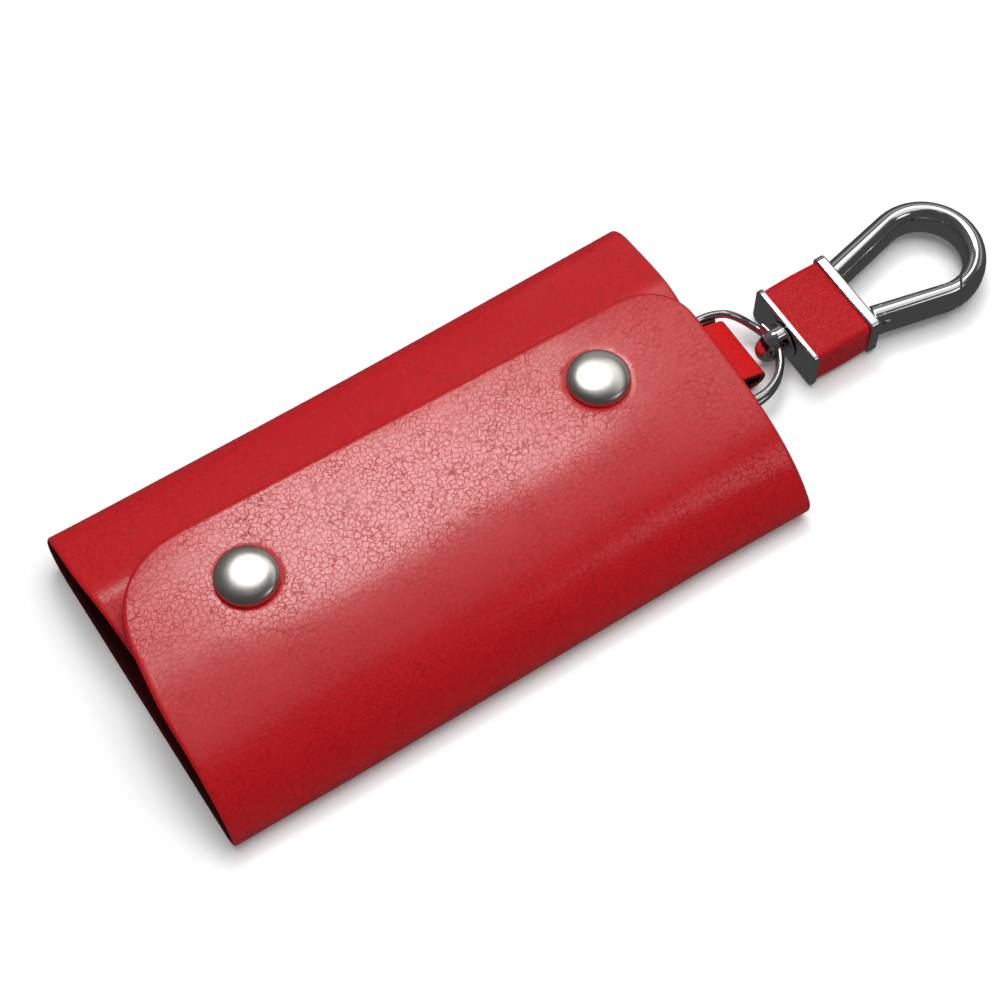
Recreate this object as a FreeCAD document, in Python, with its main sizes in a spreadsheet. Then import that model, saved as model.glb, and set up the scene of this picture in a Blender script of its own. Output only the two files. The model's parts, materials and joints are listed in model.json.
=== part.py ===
import FreeCAD, Part
import math
import os
import re

import Sketcher

HOOKS = 6
QUARTER_TURN = 90
POINTS_PER_WIRE = 8
SAME_TURN = 3

# A folded leather key case with snap fasteners, a rack of key hooks inside and a belt hook on a split ring.
# Frame: origin at the middle of the back face, +X towards the belt hook, +Y towards the front fold, +Z up.

doc = FreeCAD.newDocument("KeyCase")
sheet = doc.addObject("Spreadsheet::Sheet", "Sizes")

SIZES = {
    # leather case
    "leather": 1.6,
    "case_length": 120.0,
    "case_width": 66.0,
    "front_setback": 0.8,
    "flap_setback_left": 1.7,
    "flap_setback_right": 0.8,
    "front_fold": 6.4,
    "flap_fold": 3.8,
    "fold_split_low": 237.0,
    "fold_split_high": 171.0,
    "front_split": 45.0,
    "split_gap": 0.3,
    "front_edge": -5.0,
    "flap_crown": 17.0,
    "shoulder_turn": 48.0,
    "lip_start": 8.0,
    "lip_radius": 27.5,
    "lip_turn": 30.0,
    "flap_edge_left": 18.6,
    "flap_edge_right": 16.2,
    "flap_corner_left": 16.0,
    "flap_corner_right": 9.0,
    # snap fasteners
    "snap_spacing": 72.2,
    "snap_shift": 0.6,
    "snap_y": 3.0,
    "cap_radius": 5.8,
    "cap_rim": 0.45,
    "cap_rise": 2.3,
    "snap_shank": 1.7,
    "cap_clinch": 0.3,
    "snap_fit": 0.05,
    "socket_radius": 5.0,
    "socket_plate": 0.6,
    "socket_depth": 1.6,
    "socket_bore": 2.5,
    "stud_plate": 0.5,
    "stud_radius": 1.95,
    "stud_height": 1.5,
    "post_radius": 1.2,
    "post_flange": 4.5,
    "post_plate": 0.6,
    # key rack
    "bar_gap": 0.2,
    "bar_foot": 12.0,
    "bar_margin": 0.6,
    "bar_plate": 1.0,
    "bar_height": 7.6,
    "rack_z": 5.6,
    "rack_end": 4.5,
    "hook_shank": 0.9,
    "hook_fit": 0.05,
    "hook_play": 0.15,
    "hook_head": 1.8,
    "hook_head_thick": 0.8,
    "yoke_length": 3.0,
    "yoke_width": 5.6,
    "yoke_height": 2.6,
    "hook_wire": 0.75,
    "hook_half": 2.25,
    "hook_reach": 14.8,
    "hook_return": 5.5,
    "key_pin": 0.4,
    "key_barrel": 1.0,
    "key_slot": 1.3,
    "key_gate_height": 1.1,
    "key_gate_thick": 0.7,
    "key_gate_gap": 0.25,
    "key_gate_clear": 0.2,
    # rivets
    "rivet_shank": 1.3,
    "rivet_head": 3.0,
    "rivet_sunk": 0.6,
    "rivet_dome": 0.9,
    "washer_thick": 0.4,
    "washer_radius": 3.4,
    "bar_rivet_inset": 6.5,
    "bar_rivet_end": 6.0,
    "tab_rivet_inset": 3.7,
    # leather tab
    "tab_leather": 1.2,
    "tab_width": 13.4,
    "tab_y": 0.0,
    "tab_hold": 21.8,
    "tab_ramp_clear": 0.7,
    "tab_ramp_angle": 48.5,
    "tab_height": 5.2,
    "tab_beyond": 4.1,
    "tab_bend": 1.0,
    "tab_slope": 20.0,
    # split ring and swivel
    "ring_radius": 9.75,
    "ring_wire": 1.5,
    "ring_pitch": 1.95,
    "ring_room": 17.1,
    "ring_y": -0.9,
    "ring_clear": 0.3,
    "jog_start": 20.0,
    "jog_turn": 42.0,
    "jog_clear": 6.0,
    "eye_wire": 0.75,
    "eye_clear": 0.27,
    "eye_room": 1.3,
    "collar_thick": 0.6,
    "collar_radius": 3.8,
    "collar_gap": 0.15,
    "swivel_shank": 1.5,
    "swivel_fit": 0.05,
    "swivel_head": 2.3,
    "swivel_head_thick": 1.6,
    "swivel_play": 0.2,
    # belt hook
    "belt_y": -2.5,
    "plate_thick": 1.4,
    "plate_width": 18.6,
    "plate_height": 9.2,
    "plate_corner": 1.2,
    "band_length": 12.3,
    "band_leather": 1.1,
    "band_inset": 0.4,
    "core_fit": 0.05,
    "bow_radius": 9.45,
    "bow_reach": 17.53,
    "bow_lean": 13.0,
    "bar_width": 4.3,
    "bar_tall": 7.2,
    "tip_outer": 94.0,
    "tip_inner": 68.0,
    "tip_gap": 0.3,
    "tip_spare": 3.0,
    "pivot_clear": 0.8,
    "gate_heel": 1.7,
    "gate_pin_radius": 1.0,
    "pin_sunk": 0.2,
    "gate_fit": 0.05,
    "lug_thick": 0.8,
    "lug_gap": 2.6,
    "lug_play": 0.15,
    "spring_wire": 0.36,
    "spring_radius": 1.55,
    "spring_pitch": 0.85,
    "spring_turns": 2.25,
}

for row, (name, number) in enumerate(SIZES.items(), start=1):
    sheet.set(f"A{row}", name)
    sheet.set(f"B{row}", repr(number))
    sheet.setAlias(f"B{row}", name)
doc.recompute()

alias = re.compile(r"\b(" + "|".join(sorted(SIZES, key=len, reverse=True)) + r")\b")


def bound(text):
    """The formula with each size's name pointing at its cell."""
    return alias.sub(lambda hit: "Sizes." + hit.group(0), str(text))


def number(text):
    """The value of a formula, in millimetres or degrees."""
    found = sheet.evalExpression(bound(text))
    return float(getattr(found, "Value", found))


def tie(item, target, text):
    item.setExpression(target, bound(text))


def place(item, at, rotation=None):
    """Bind an object's position to three formulas, with a fixed rotation."""
    if rotation is not None:
        item.Placement = FreeCAD.Placement(FreeCAD.Vector(), rotation)
    for letter, text in zip("xyz", at):
        tie(item, f"Placement.Base.{letter}", text)
    return item


# Plain solids

ALONG_X = FreeCAD.Rotation(FreeCAD.Vector(0, 0, 1), FreeCAD.Vector(1, 0, 0))
ALONG_Z = FreeCAD.Rotation()


def box(name, corner, size):
    item = doc.addObject("Part::Box", name)
    for side, text in zip(("Length", "Width", "Height"), size):
        tie(item, side, text)
    return place(item, corner, ALONG_Z)


def rod(name, at, radius, length, rotation=ALONG_Z):
    item = doc.addObject("Part::Cylinder", name)
    tie(item, "Radius", radius)
    tie(item, "Height", length)
    return place(item, at, rotation)


def joined(name, pieces):
    item = doc.addObject("Part::MultiFuse", name)
    item.Shapes = pieces
    item.Refine = True
    return item


def cut(name, base, tool):
    item = doc.addObject("Part::Cut", name)
    item.Base = base
    item.Tool = tool
    return item


def group(name, pieces):
    item = doc.addObject("Part::Compound", name)
    item.Links = pieces
    return item


# Sketched solids

def sketch_on(body, role, name, lift=None):
    sketch = body.newObject("Sketcher::SketchObject", name)
    plane = [item for item in body.Origin.OriginFeatures if item.Role == role][0]
    sketch.AttachmentSupport = [(plane, "")]
    sketch.MapMode = "FlatFace"
    if lift is not None:
        tie(sketch, "AttachmentOffset.Base.z", lift)
    return sketch


def pin_point(sketch, curve, point, formulas, values):
    """Hold a sketch point at two formulas measured from the sketch's origin."""
    for kind, text, value in zip(("DistanceX", "DistanceY"), formulas, values):
        index = sketch.addConstraint(Sketcher.Constraint(kind, -1, 1, curve, point, value))
        tie(sketch, f"Constraints[{index}]", text)


def arc_between(start, end, radius, side):
    """The short arc from start to end; side 1 turns left, side -1 turns right."""
    chord = end - start
    middle = (start + end) * 0.5
    reach = math.sqrt(max(radius ** 2 - (chord.Length / 2) ** 2, 0.0))
    left = FreeCAD.Vector(-chord.y, chord.x, 0) / chord.Length
    centre = middle + left * reach * side
    ends = (start, end) if side > 0 else (end, start)
    angles = [math.atan2(point.y - centre.y, point.x - centre.x) for point in ends]
    return Part.ArcOfCircle(Part.Circle(centre, FreeCAD.Vector(0, 0, 1), radius), *angles)


def outline(sketch, corners):
    """A closed outline. A corner is (u, v), or (u, v, radius, side) where an arc leads to the next corner."""
    spots = [FreeCAD.Vector(number(corner[0]), number(corner[1]), 0) for corner in corners]
    first = sketch.GeometryCount
    starts = []
    ends = []
    for step, corner in enumerate(corners):
        here, there = spots[step], spots[(step + 1) % len(corners)]
        if len(corner) == 2:
            curve = sketch.addGeometry(Part.LineSegment(here, there))
            forward = True
        else:
            curve = sketch.addGeometry(arc_between(here, there, number(corner[2]), corner[3]))
            forward = corner[3] > 0
        starts.append((curve, 1 if forward else 2))
        ends.append((curve, 2 if forward else 1))
    for step, end in enumerate(ends):
        sketch.addConstraint(Sketcher.Constraint("Coincident", *end, *starts[(step + 1) % len(corners)]))
    for step, corner in enumerate(corners):
        pin_point(sketch, *starts[step], corner[:2], spots[step])
        if len(corner) == 4:
            index = sketch.addConstraint(Sketcher.Constraint("Radius", first + step, number(corner[2])))
            tie(sketch, f"Constraints[{index}]", corner[2])
    return sketch


def circle(sketch, at, radius):
    spot = FreeCAD.Vector(number(at[0]), number(at[1]), 0)
    curve = sketch.addGeometry(Part.Circle(spot, FreeCAD.Vector(0, 0, 1), number(radius)))
    pin_point(sketch, curve, 3, at, spot)
    index = sketch.addConstraint(Sketcher.Constraint("Radius", curve, number(radius)))
    tie(sketch, f"Constraints[{index}]", radius)
    return sketch


def new_body(name):
    return doc.addObject("PartDesign::Body", name)


def pad(body, sketch, length, both_ways=False, reverse=False):
    feature = body.newObject("PartDesign::Pad", sketch.Name + "_pad")
    feature.Profile = sketch
    tie(feature, "Length", length)
    feature.SideType = "Symmetric" if both_ways else "One side"
    feature.Reversed = reverse
    return feature


def pocket(body, sketch, depth):
    """Cut a sketch that lies under the material upwards to a depth, and see that it removes something."""
    doc.recompute()
    before = body.Shape.Volume
    feature = body.newObject("PartDesign::Pocket", sketch.Name + "_pocket")
    feature.Profile = sketch
    feature.Reversed = True
    tie(feature, "Length", depth)
    doc.recompute()
    if not body.Shape.Volume < before:
        raise RuntimeError(sketch.Name + " cuts nothing")
    return feature


def turned(name, corners, at, rotation=None):
    """A solid of revolution about the body's Z axis, from an outline of (radius, height) corners."""
    body = new_body(name)
    sketch = outline(sketch_on(body, "XZ_Plane", name + "_profile"), corners)
    feature = body.newObject("PartDesign::Revolution", name + "_turn")
    feature.Profile = sketch
    feature.ReferenceAxis = (sketch, ["V_Axis"])
    feature.Angle = 360
    return place(body, at, rotation)


def round_edges(body, radius, chosen):
    """Fillet the edges of a body's tip that a test picks out."""
    doc.recompute()
    tip = body.Tip
    names = [f"Edge{index}" for index, edge in enumerate(tip.Shape.Edges, start=1) if chosen(edge)]
    feature = body.newObject("PartDesign::Fillet", f"{body.Name}_round_{len(body.Group)}")
    feature.Base = (tip, names)
    tie(feature, "Radius", radius)
    return feature


def upright(edge):
    tangent = edge.tangentAt(edge.FirstParameter)
    return abs(tangent.z) > 0.99


def polar(centre, radius, angle):
    """Formulas of the point at an angle on a circle."""
    return (f"{centre[0]} + ({radius}) * cos({angle})", f"{centre[1]} + ({radius}) * sin({angle})")


nodes = {}


def keep(label, item):
    """Register a finished piece under the name of its file."""
    item.Label = label
    nodes[label] = item
    return item


# Leather sheet

flap_centre = ("(flap_fold - case_width / 2)", "flap_fold")
front_centre = ("(case_width / 2 - front_fold)", "front_fold")
flap_gap = "(split_gap / 2 / flap_fold * 180 / pi)"
front_gap = "(split_gap / 2 / front_fold * 180 / pi)"
flap_inner = "(flap_fold - leather)"
front_inner = "(front_fold - leather)"
front_top = "(2 * front_fold)"
front_under = "(2 * front_fold - leather)"
crown_under = "(flap_crown - leather)"
shoulder = "((flap_crown - flap_fold * (1 + cos(shoulder_turn))) / (1 - cos(shoulder_turn)))"
shoulder_y = f"({flap_centre[0]} + ({shoulder} - flap_fold) * sin(shoulder_turn))"
snap_places = [("(snap_shift - snap_spacing / 2)", "snap_y"), ("(snap_shift + snap_spacing / 2)", "snap_y")]
case_end = "(case_length / 2)"
tab_tail = f"({case_end} - tab_hold)"
tab_rivet_x = f"({tab_tail} + tab_rivet_inset)"
tab_rivet_place = (tab_rivet_x, "tab_y")
ramp_foot = f"({tab_rivet_x} + washer_radius + tab_ramp_clear)"
ring_x = f"({ramp_foot} + ring_room)"
bar_left = f"({tab_tail} - bar_gap - bar_foot)"
bar_length = "(case_width - 2 * front_fold - 2 * bar_margin)"
bar_rivet_x = f"({bar_left} + bar_rivet_inset)"
bar_rivet_y = f"({bar_length} / 2 - bar_rivet_end)"
bar_rivet_places = [(bar_rivet_x, bar_rivet_y), (bar_rivet_x, f"-{bar_rivet_y}")]


def leather_strip(name, corners, length):
    """A strip of the case's sheet with a bent section, padded along X."""
    body = new_body(name)
    pad(body, outline(sketch_on(body, "YZ_Plane", name + "_section"), corners), length, both_ways=True)
    return body


def drill(body, name, places, radius, start, depth):
    sketch = sketch_on(body, "XY_Plane", name, lift=start)
    for at in places:
        circle(sketch, at, radius)
    return pocket(body, sketch, depth)


def make_back_panel():
    low = f"fold_split_low + {flap_gap}"
    high = f"0 - front_split - {front_gap}"
    body = leather_strip("back_panel", [
        (*polar(flap_centre, "flap_fold", low), "flap_fold", 1),
        (flap_centre[0], "0"),
        (front_centre[0], "0", "front_fold", 1),
        polar(front_centre, "front_fold", high),
        (*polar(front_centre, front_inner, high), front_inner, -1),
        (front_centre[0], "leather"),
        (flap_centre[0], "leather", flap_inner, -1),
        polar(flap_centre, flap_inner, low),
    ], "case_length")
    places = bar_rivet_places + [tab_rivet_place]
    drill(body, "back_rivet_holes", places, "rivet_shank", "0", "leather")
    drill(body, "back_rivet_seats", places, "rivet_head", "0", "rivet_sunk")
    keep("back_panel", body)


def make_fold(name, centre, outer, inner, start, end, length):
    body = leather_strip(name, [
        (*polar(centre, outer, start), outer, 1),
        polar(centre, outer, end),
        (*polar(centre, inner, end), inner, -1),
        polar(centre, inner, start),
    ], length)
    keep(name, body)


def make_front_panel():
    low = f"front_split + {front_gap}"
    body = leather_strip("front_panel", [
        (*polar(front_centre, "front_fold", low), "front_fold", 1),
        (front_centre[0], front_top),
        ("front_edge", front_top),
        ("front_edge", front_under),
        (front_centre[0], front_under, front_inner, -1),
        polar(front_centre, front_inner, low),
    ], "case_length - 2 * front_setback")
    drill(body, "front_post_holes", snap_places, "post_radius + snap_fit", "front_fold", front_top)
    keep("front_panel", body)


def free_corner(edge, side):
    """True for an upright edge at the flap's free end, on the given side in X."""
    middle = edge.CenterOfMass
    return upright(edge) and middle.x * side > 0 and middle.y > 0


def make_flap():
    start = f"fold_split_high - {flap_gap}"
    turn = "90 + shoulder_turn"
    lip_centre = ("lip_start", "(flap_crown - lip_radius)")
    lip_end = "90 - lip_turn"
    strip = leather_strip("flap_strip", [
        (*polar(flap_centre, "flap_fold", start), "flap_fold", -1),
        (*polar(flap_centre, "flap_fold", turn), shoulder, -1),
        (shoulder_y, "flap_crown"),
        ("lip_start", "flap_crown", "lip_radius", -1),
        polar(lip_centre, "lip_radius", lip_end),
        (*polar(lip_centre, "lip_radius - leather", lip_end), "lip_radius - leather", 1),
        ("lip_start", crown_under),
        (shoulder_y, crown_under, f"{shoulder} - leather", 1),
        (*polar(flap_centre, flap_inner, turn), flap_inner, 1),
        polar(flap_centre, flap_inner, start),
    ], "case_length")
    drill(strip, "flap_cap_holes", snap_places, "snap_shank + snap_fit", "flap_fold", "flap_crown")
    plan = new_body("flap_plan")
    left = "(flap_setback_left - case_length / 2)"
    right = "(case_length / 2 - flap_setback_right)"
    cut_out = outline(sketch_on(plan, "XY_Plane", "flap_plan_outline", lift="-leather"), [
        (left, "-case_width"),
        (right, "-case_width"),
        (right, "flap_edge_right"),
        (left, "flap_edge_left"),
    ])
    pad(plan, cut_out, "flap_crown + 2 * leather")
    round_edges(plan, "flap_corner_left", lambda edge: free_corner(edge, -1))
    round_edges(plan, "flap_corner_right", lambda edge: free_corner(edge, 1))
    flap = doc.addObject("Part::Common", "flap_cut")
    flap.Base = strip
    flap.Tool = plan
    keep("flap", flap)


make_back_panel()
make_fold("flap_fold", flap_centre, "flap_fold", flap_inner, f"fold_split_high + {flap_gap}",
          f"fold_split_low - {flap_gap}", "case_length - flap_setback_left - flap_setback_right")
make_fold("front_fold", front_centre, "front_fold", front_inner, f"{front_gap} - front_split",
          f"front_split - {front_gap}", "case_length - 2 * front_setback")
make_front_panel()
make_flap()


# Snap fasteners

def snap_pair(name, corners, height):
    pieces = []
    for side, at in zip(("left", "right"), snap_places):
        pieces.append(turned(f"{name}_{side}", corners, (*at, height)))
    keep(name, group(name + "_pair", pieces))


snap_pair("snap_caps", [
    ("0", "-leather - socket_plate - cap_clinch"),
    ("snap_shank", "-leather - socket_plate - cap_clinch"),
    ("snap_shank", "0"),
    ("cap_radius", "0"),
    ("cap_radius", "cap_rim", "(cap_radius^2 + (cap_rise - cap_rim)^2) / (2 * (cap_rise - cap_rim))", 1),
    ("0", "cap_rise"),
], "flap_crown")
snap_pair("snap_sockets", [
    ("snap_shank + snap_fit", "0"),
    ("snap_shank + snap_fit", "-socket_plate"),
    ("socket_bore", "-socket_plate"),
    ("socket_bore", "-socket_depth"),
    ("socket_radius", "-socket_depth"),
    ("socket_radius", "0"),
], crown_under)
snap_pair("snap_studs", [
    ("post_radius + snap_fit", "0"),
    ("socket_radius", "0"),
    ("socket_radius", "stud_plate"),
    ("stud_radius", "stud_plate"),
    ("stud_radius", "stud_height"),
    ("post_radius + snap_fit", "stud_height"),
], front_top)
snap_pair("snap_posts", [
    ("0", "-leather - post_plate"),
    ("post_flange", "-leather - post_plate"),
    ("post_flange", "-leather"),
    ("post_radius", "-leather"),
    ("post_radius", "stud_height"),
    ("0", "stud_height"),
], front_top)


# Key rack

bar_foot_top = "(leather + bar_plate)"


rack_pitch = f"(({bar_length} - 2 * rack_end) / {HOOKS - 1})"


def hook_y(index):
    return f"({index} - {(HOOKS - 1) / 2}) * {rack_pitch}"


def make_key_bar():
    body = new_body("key_bar")
    profile = outline(sketch_on(body, "XZ_Plane", "key_bar_section"), [
        (bar_left, "leather"),
        (f"{bar_left} + bar_foot", "leather"),
        (f"{bar_left} + bar_foot", bar_foot_top),
        (f"{bar_left} + bar_plate", bar_foot_top),
        (f"{bar_left} + bar_plate", "leather + bar_height"),
        (bar_left, "leather + bar_height"),
    ])
    pad(body, profile, bar_length, both_ways=True)
    drill(body, "bar_rivet_holes", bar_rivet_places, "rivet_shank", "leather", "bar_plate")
    holes = sketch_on(body, "YZ_Plane", "bar_hook_holes", lift=bar_left)
    for index in range(HOOKS):
        circle(holes, (hook_y(index), "rack_z"), "hook_shank + hook_fit")
    pocket(body, holes, "bar_plate")
    keep("key_bar", body)


yoke_right = f"({bar_left} - hook_play)"
yoke_left = f"({yoke_right} - yoke_length)"
key_pivot_x = f"({yoke_right} - yoke_length / 2)"
key_pivot_v = "(key_barrel - hook_half - key_gate_thick / 2)"
bend_x = f"({yoke_left} - hook_reach)"
return_x = f"({bend_x} + hook_return)"


def make_key_hook(index):
    """A wire hook on a shank that turns in the bar, with a forked yoke for its gate."""
    tag = f"key_hook_{index + 1}"
    y = hook_y(index)
    z = "rack_z"
    shank_length = "(bar_plate + 2 * hook_play)"
    yoke = box(tag + "_yoke", (yoke_left, f"{y} - yoke_width / 2", f"{z} - yoke_height / 2"),
               ("yoke_length", "yoke_width", "yoke_height"))
    slot = box(tag + "_slot", (f"{yoke_left} - yoke_length", f"{y} - yoke_width", f"{z} - key_slot / 2"),
               ("1.5 * yoke_length + key_barrel + key_gate_clear",
                f"yoke_width + {key_pivot_v} + key_barrel + key_gate_clear", "key_slot"))
    bend = doc.addObject("Part::Torus", tag + "_bend")
    tie(bend, "Radius1", "hook_half")
    tie(bend, "Radius2", "hook_wire")
    bend.Angle3 = 180
    place(bend, (bend_x, y, z), FreeCAD.Rotation(FreeCAD.Vector(0, 0, 1), 90))
    tip = doc.addObject("Part::Sphere", tag + "_tip")
    tie(tip, "Radius", "hook_wire")
    place(tip, (return_x, f"{y} - hook_half", z))
    pieces = [
        rod(tag + "_shank", (yoke_right, y, z), "hook_shank", shank_length, ALONG_X),
        rod(tag + "_head", (f"{yoke_right} + {shank_length}", y, z), "hook_head", "hook_head_thick", ALONG_X),
        rod(tag + "_leg", (bend_x, f"{y} + hook_half", z), "hook_wire", "hook_reach + yoke_length / 4",
            ALONG_X),
        rod(tag + "_return", (bend_x, f"{y} - hook_half", z), "hook_wire", "hook_return", ALONG_X),
        rod(tag + "_pin", (key_pivot_x, f"{y} + {key_pivot_v}", f"{z} - yoke_height / 2"), "key_pin",
            "yoke_height"),
        cut(tag + "_fork", yoke, slot),
        bend,
        tip,
    ]
    keep(tag, joined(tag + "_all", pieces))


def make_key_gate(index):
    """The sprung gate that closes a key hook, with an eye on the yoke's pin."""
    tag = f"key_gate_{index + 1}"
    y = hook_y(index)
    low = "rack_z - key_gate_height / 2"
    pivot_y = f"{y} + {key_pivot_v}"
    tip_x = f"({return_x} + hook_wire + key_gate_gap)"
    barrel = rod(tag + "_barrel", (key_pivot_x, pivot_y, low), "key_barrel", "key_gate_height")
    leaf = box(tag + "_leaf", (tip_x, f"{pivot_y} - key_barrel", low),
               (f"{key_pivot_x} - {tip_x}", "key_gate_thick", "key_gate_height"))
    hole = rod(tag + "_hole", (key_pivot_x, pivot_y, f"{low} - key_gate_height"), "key_pin + hook_fit",
               "3 * key_gate_height")
    keep(tag, cut(tag + "_all", joined(tag + "_solid", [barrel, leaf]), hole))


make_key_bar()
for index in range(HOOKS):
    make_key_hook(index)
    make_key_gate(index)


# Rivets

tab_foot_top = "(leather + 2 * tab_leather)"


def rivet(name, at, seat):
    """A rivet with its head sunk in the back face and a domed end on a washer."""
    top = f"{seat} + washer_thick"
    return turned(name, [
        ("0", "0"),
        ("rivet_head", "0"),
        ("rivet_head", "rivet_sunk"),
        ("rivet_shank", "rivet_sunk"),
        ("rivet_shank", top),
        ("rivet_head", top, "(rivet_head^2 + rivet_dome^2) / (2 * rivet_dome)", 1),
        ("0", f"{top} + rivet_dome"),
    ], (*at, "0"))


def washer(name, at, seat):
    return turned(name, [
        ("rivet_shank", "0"),
        ("washer_radius", "0"),
        ("washer_radius", "washer_thick"),
        ("rivet_shank", "washer_thick"),
    ], (*at, seat))


keep("bar_rivets", group("bar_rivet_pair", [
    rivet(f"bar_rivet_{side}", at, bar_foot_top) for side, at in zip(("front", "rear"), bar_rivet_places)]))
keep("tab_rivet", rivet("tab_rivet_turned", tab_rivet_place, tab_foot_top))
seats = list(zip(bar_rivet_places + [tab_rivet_place], (bar_foot_top, bar_foot_top, tab_foot_top)))
keep("rivet_washers", group("washer_set", [
    washer(f"washer_{count}", at, seat) for count, (at, seat) in enumerate(seats, start=1)]))


# Leather tab

def make_tab():
    """A strap folded back on itself, riveted at its tail, with the split ring in its loop."""
    under = "(leather + tab_leather)"
    bend = (f"({ring_x} + tab_beyond - tab_bend - tab_leather)", "(leather + tab_leather + tab_bend)")
    lean = "90 - tab_slope"
    roof = f"({under} + tab_height)"
    outer_bend = "(tab_bend + tab_leather)"

    def down_slope(radius, level):
        start = polar(bend, radius, lean)
        return f"{start[0]} - ({level} - ({start[1]})) / tan(tab_slope)"

    def ramp(level, shift):
        return f"{ramp_foot} + ({level} - {under}) / tan(tab_ramp_angle) - ({shift}) / sin(tab_ramp_angle)"

    body = new_body("hook_tab")
    profile = sketch_on(body, "XZ_Plane", "hook_tab_section", lift="-tab_y")
    arc_middle = "0 - tab_slope / 2"
    top = f"({roof} + tab_leather)"
    foot_top = tab_foot_top
    outline(profile, [
        (tab_tail, "leather"),
        (bend[0], "leather", outer_bend, 1),
        (*polar(bend, outer_bend, arc_middle), outer_bend, 1),
        polar(bend, outer_bend, lean),
        (down_slope(outer_bend, top), top),
        (ramp(top, "tab_leather"), top),
        (ramp(foot_top, "tab_leather"), foot_top),
        (tab_tail, foot_top),
    ])
    outline(profile, [
        (ramp_foot, under),
        (bend[0], under, "tab_bend", 1),
        (*polar(bend, "tab_bend", arc_middle), "tab_bend", 1),
        polar(bend, "tab_bend", lean),
        (down_slope("tab_bend", roof), roof),
        (ramp(roof, "0"), roof),
    ])
    pad(body, profile, "tab_width", both_ways=True)
    drill(body, "tab_rivet_hole", [tab_rivet_place], "rivet_shank", "leather", "2 * tab_leather")
    keep("hook_tab", body)


make_tab()


# Wire forms

def biarc(start, start_way, end, end_way):
    """Two tangent arcs from one point and direction to another."""
    span = end - start
    both = start_way + end_way
    spread = 2 * (1 - start_way.dot(end_way))
    reach = (math.sqrt(span.dot(both) ** 2 + spread * span.dot(span)) - span.dot(both)) / spread
    first = start + start_way * reach
    second = end - end_way * reach
    joint = (first + second) * 0.5
    return [tangent_arc(start, first, joint), tangent_arc(joint, second, end)]


def tangent_arc(start, corner, end):
    """The arc that touches both sides of a corner at equal distances."""
    middle = (start + end) * 0.5
    height = (middle - corner).Length
    side = (start - corner).Length
    away = (middle - corner) / height
    to_centre = side ** 2 / height
    radius = math.sqrt(to_centre ** 2 - side ** 2)
    return Part.Arc(start, corner + away * (to_centre - radius), end).toShape()


def wire_solid(name, edges, diameter):
    """A round wire along tangent arcs; its volume and its least gap to itself are printed."""
    path = Part.Wire(edges)
    start = path.Edges[0].valueAt(path.Edges[0].FirstParameter)
    way = path.Edges[0].tangentAt(path.Edges[0].FirstParameter)
    section = Part.Wire(Part.Circle(start, way, diameter / 2).toShape())
    shell = Part.BRepOffsetAPI.MakePipeShell(path)
    shell.add(section)
    shell.build()
    shell.makeSolid()
    solid = shell.shape()
    wanted = math.pi * diameter ** 2 / 4 * path.Length
    points = path.discretize(Number=int(path.Length / diameter * POINTS_PER_WIRE))
    skip = round(SAME_TURN * POINTS_PER_WIRE)
    spans = [a.distanceToPoint(b) for step, a in enumerate(points) for b in points[step + skip:]]
    gap = min(spans) - diameter
    print(f"{name}: wire {path.Length:.2f} mm, volume {solid.Volume:.2f} of {wanted:.2f}, gap {gap:.2f} mm")
    item = doc.addObject("Part::Feature", name)
    item.Shape = solid
    return item


def turn_path(radius, stations, height):
    """Tangent arcs through angles in degrees, at a height that is a formula of the angle."""
    def spot(angle):
        return FreeCAD.Vector(radius * math.cos(math.radians(angle)), radius * math.sin(math.radians(angle)),
                              height(angle))

    def way(angle):
        step = 0.01
        return (spot(angle + step) - spot(angle - step)).normalize()

    edges = []
    for here, there in zip(stations, stations[1:]):
        edges += biarc(spot(here), way(here), spot(there), way(there))
    return edges


def make_split_ring():
    """Two flat turns of wire joined by one short jog from the lower level to the upper."""
    pitch = number("ring_pitch")
    start = number("jog_start + jog_turn + jog_clear")
    jog = number("360 + jog_start")
    jog_end = number("360 + jog_start + jog_turn")
    end = number("720 + jog_start - jog_clear")

    def level(angle):
        share = min(max((angle - jog) / (jog_end - jog), 0.0), 1.0)
        return pitch * (share * share * (3 - 2 * share) - 0.5)

    lower = [start + QUARTER_TURN * step for step in range(int((jog - start) / QUARTER_TURN) + 1)]
    upper = [jog_end + QUARTER_TURN * step for step in range(int((end - jog_end) / QUARTER_TURN) + 1)]
    stations = lower + [jog, (jog + jog_end) / 2] + upper + [end]
    ring = wire_solid("split_ring", turn_path(number("ring_radius"), stations, level), number("ring_wire"))
    keep("split_ring", place(ring, (ring_x, "ring_y", ring_z)))


ring_z = "(leather + tab_leather + ring_clear + (ring_pitch + ring_wire) / 2)"
make_split_ring()


# Swivel

ring_corner = "((ring_pitch + ring_wire) / 2)"
eye_x = f"({ring_x} + sqrt(ring_radius^2 - (belt_y - ring_y)^2))"
eye_radius = f"({ring_corner} + eye_clear + eye_wire)"
collar_x = f"({eye_x} + eye_room)"
block_x = f"({collar_x} + collar_thick + collar_gap)"
band_x = f"({block_x} + plate_thick)"
front_x = f"({band_x} + band_length)"
front_face = f"({front_x} + plate_thick)"


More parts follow.
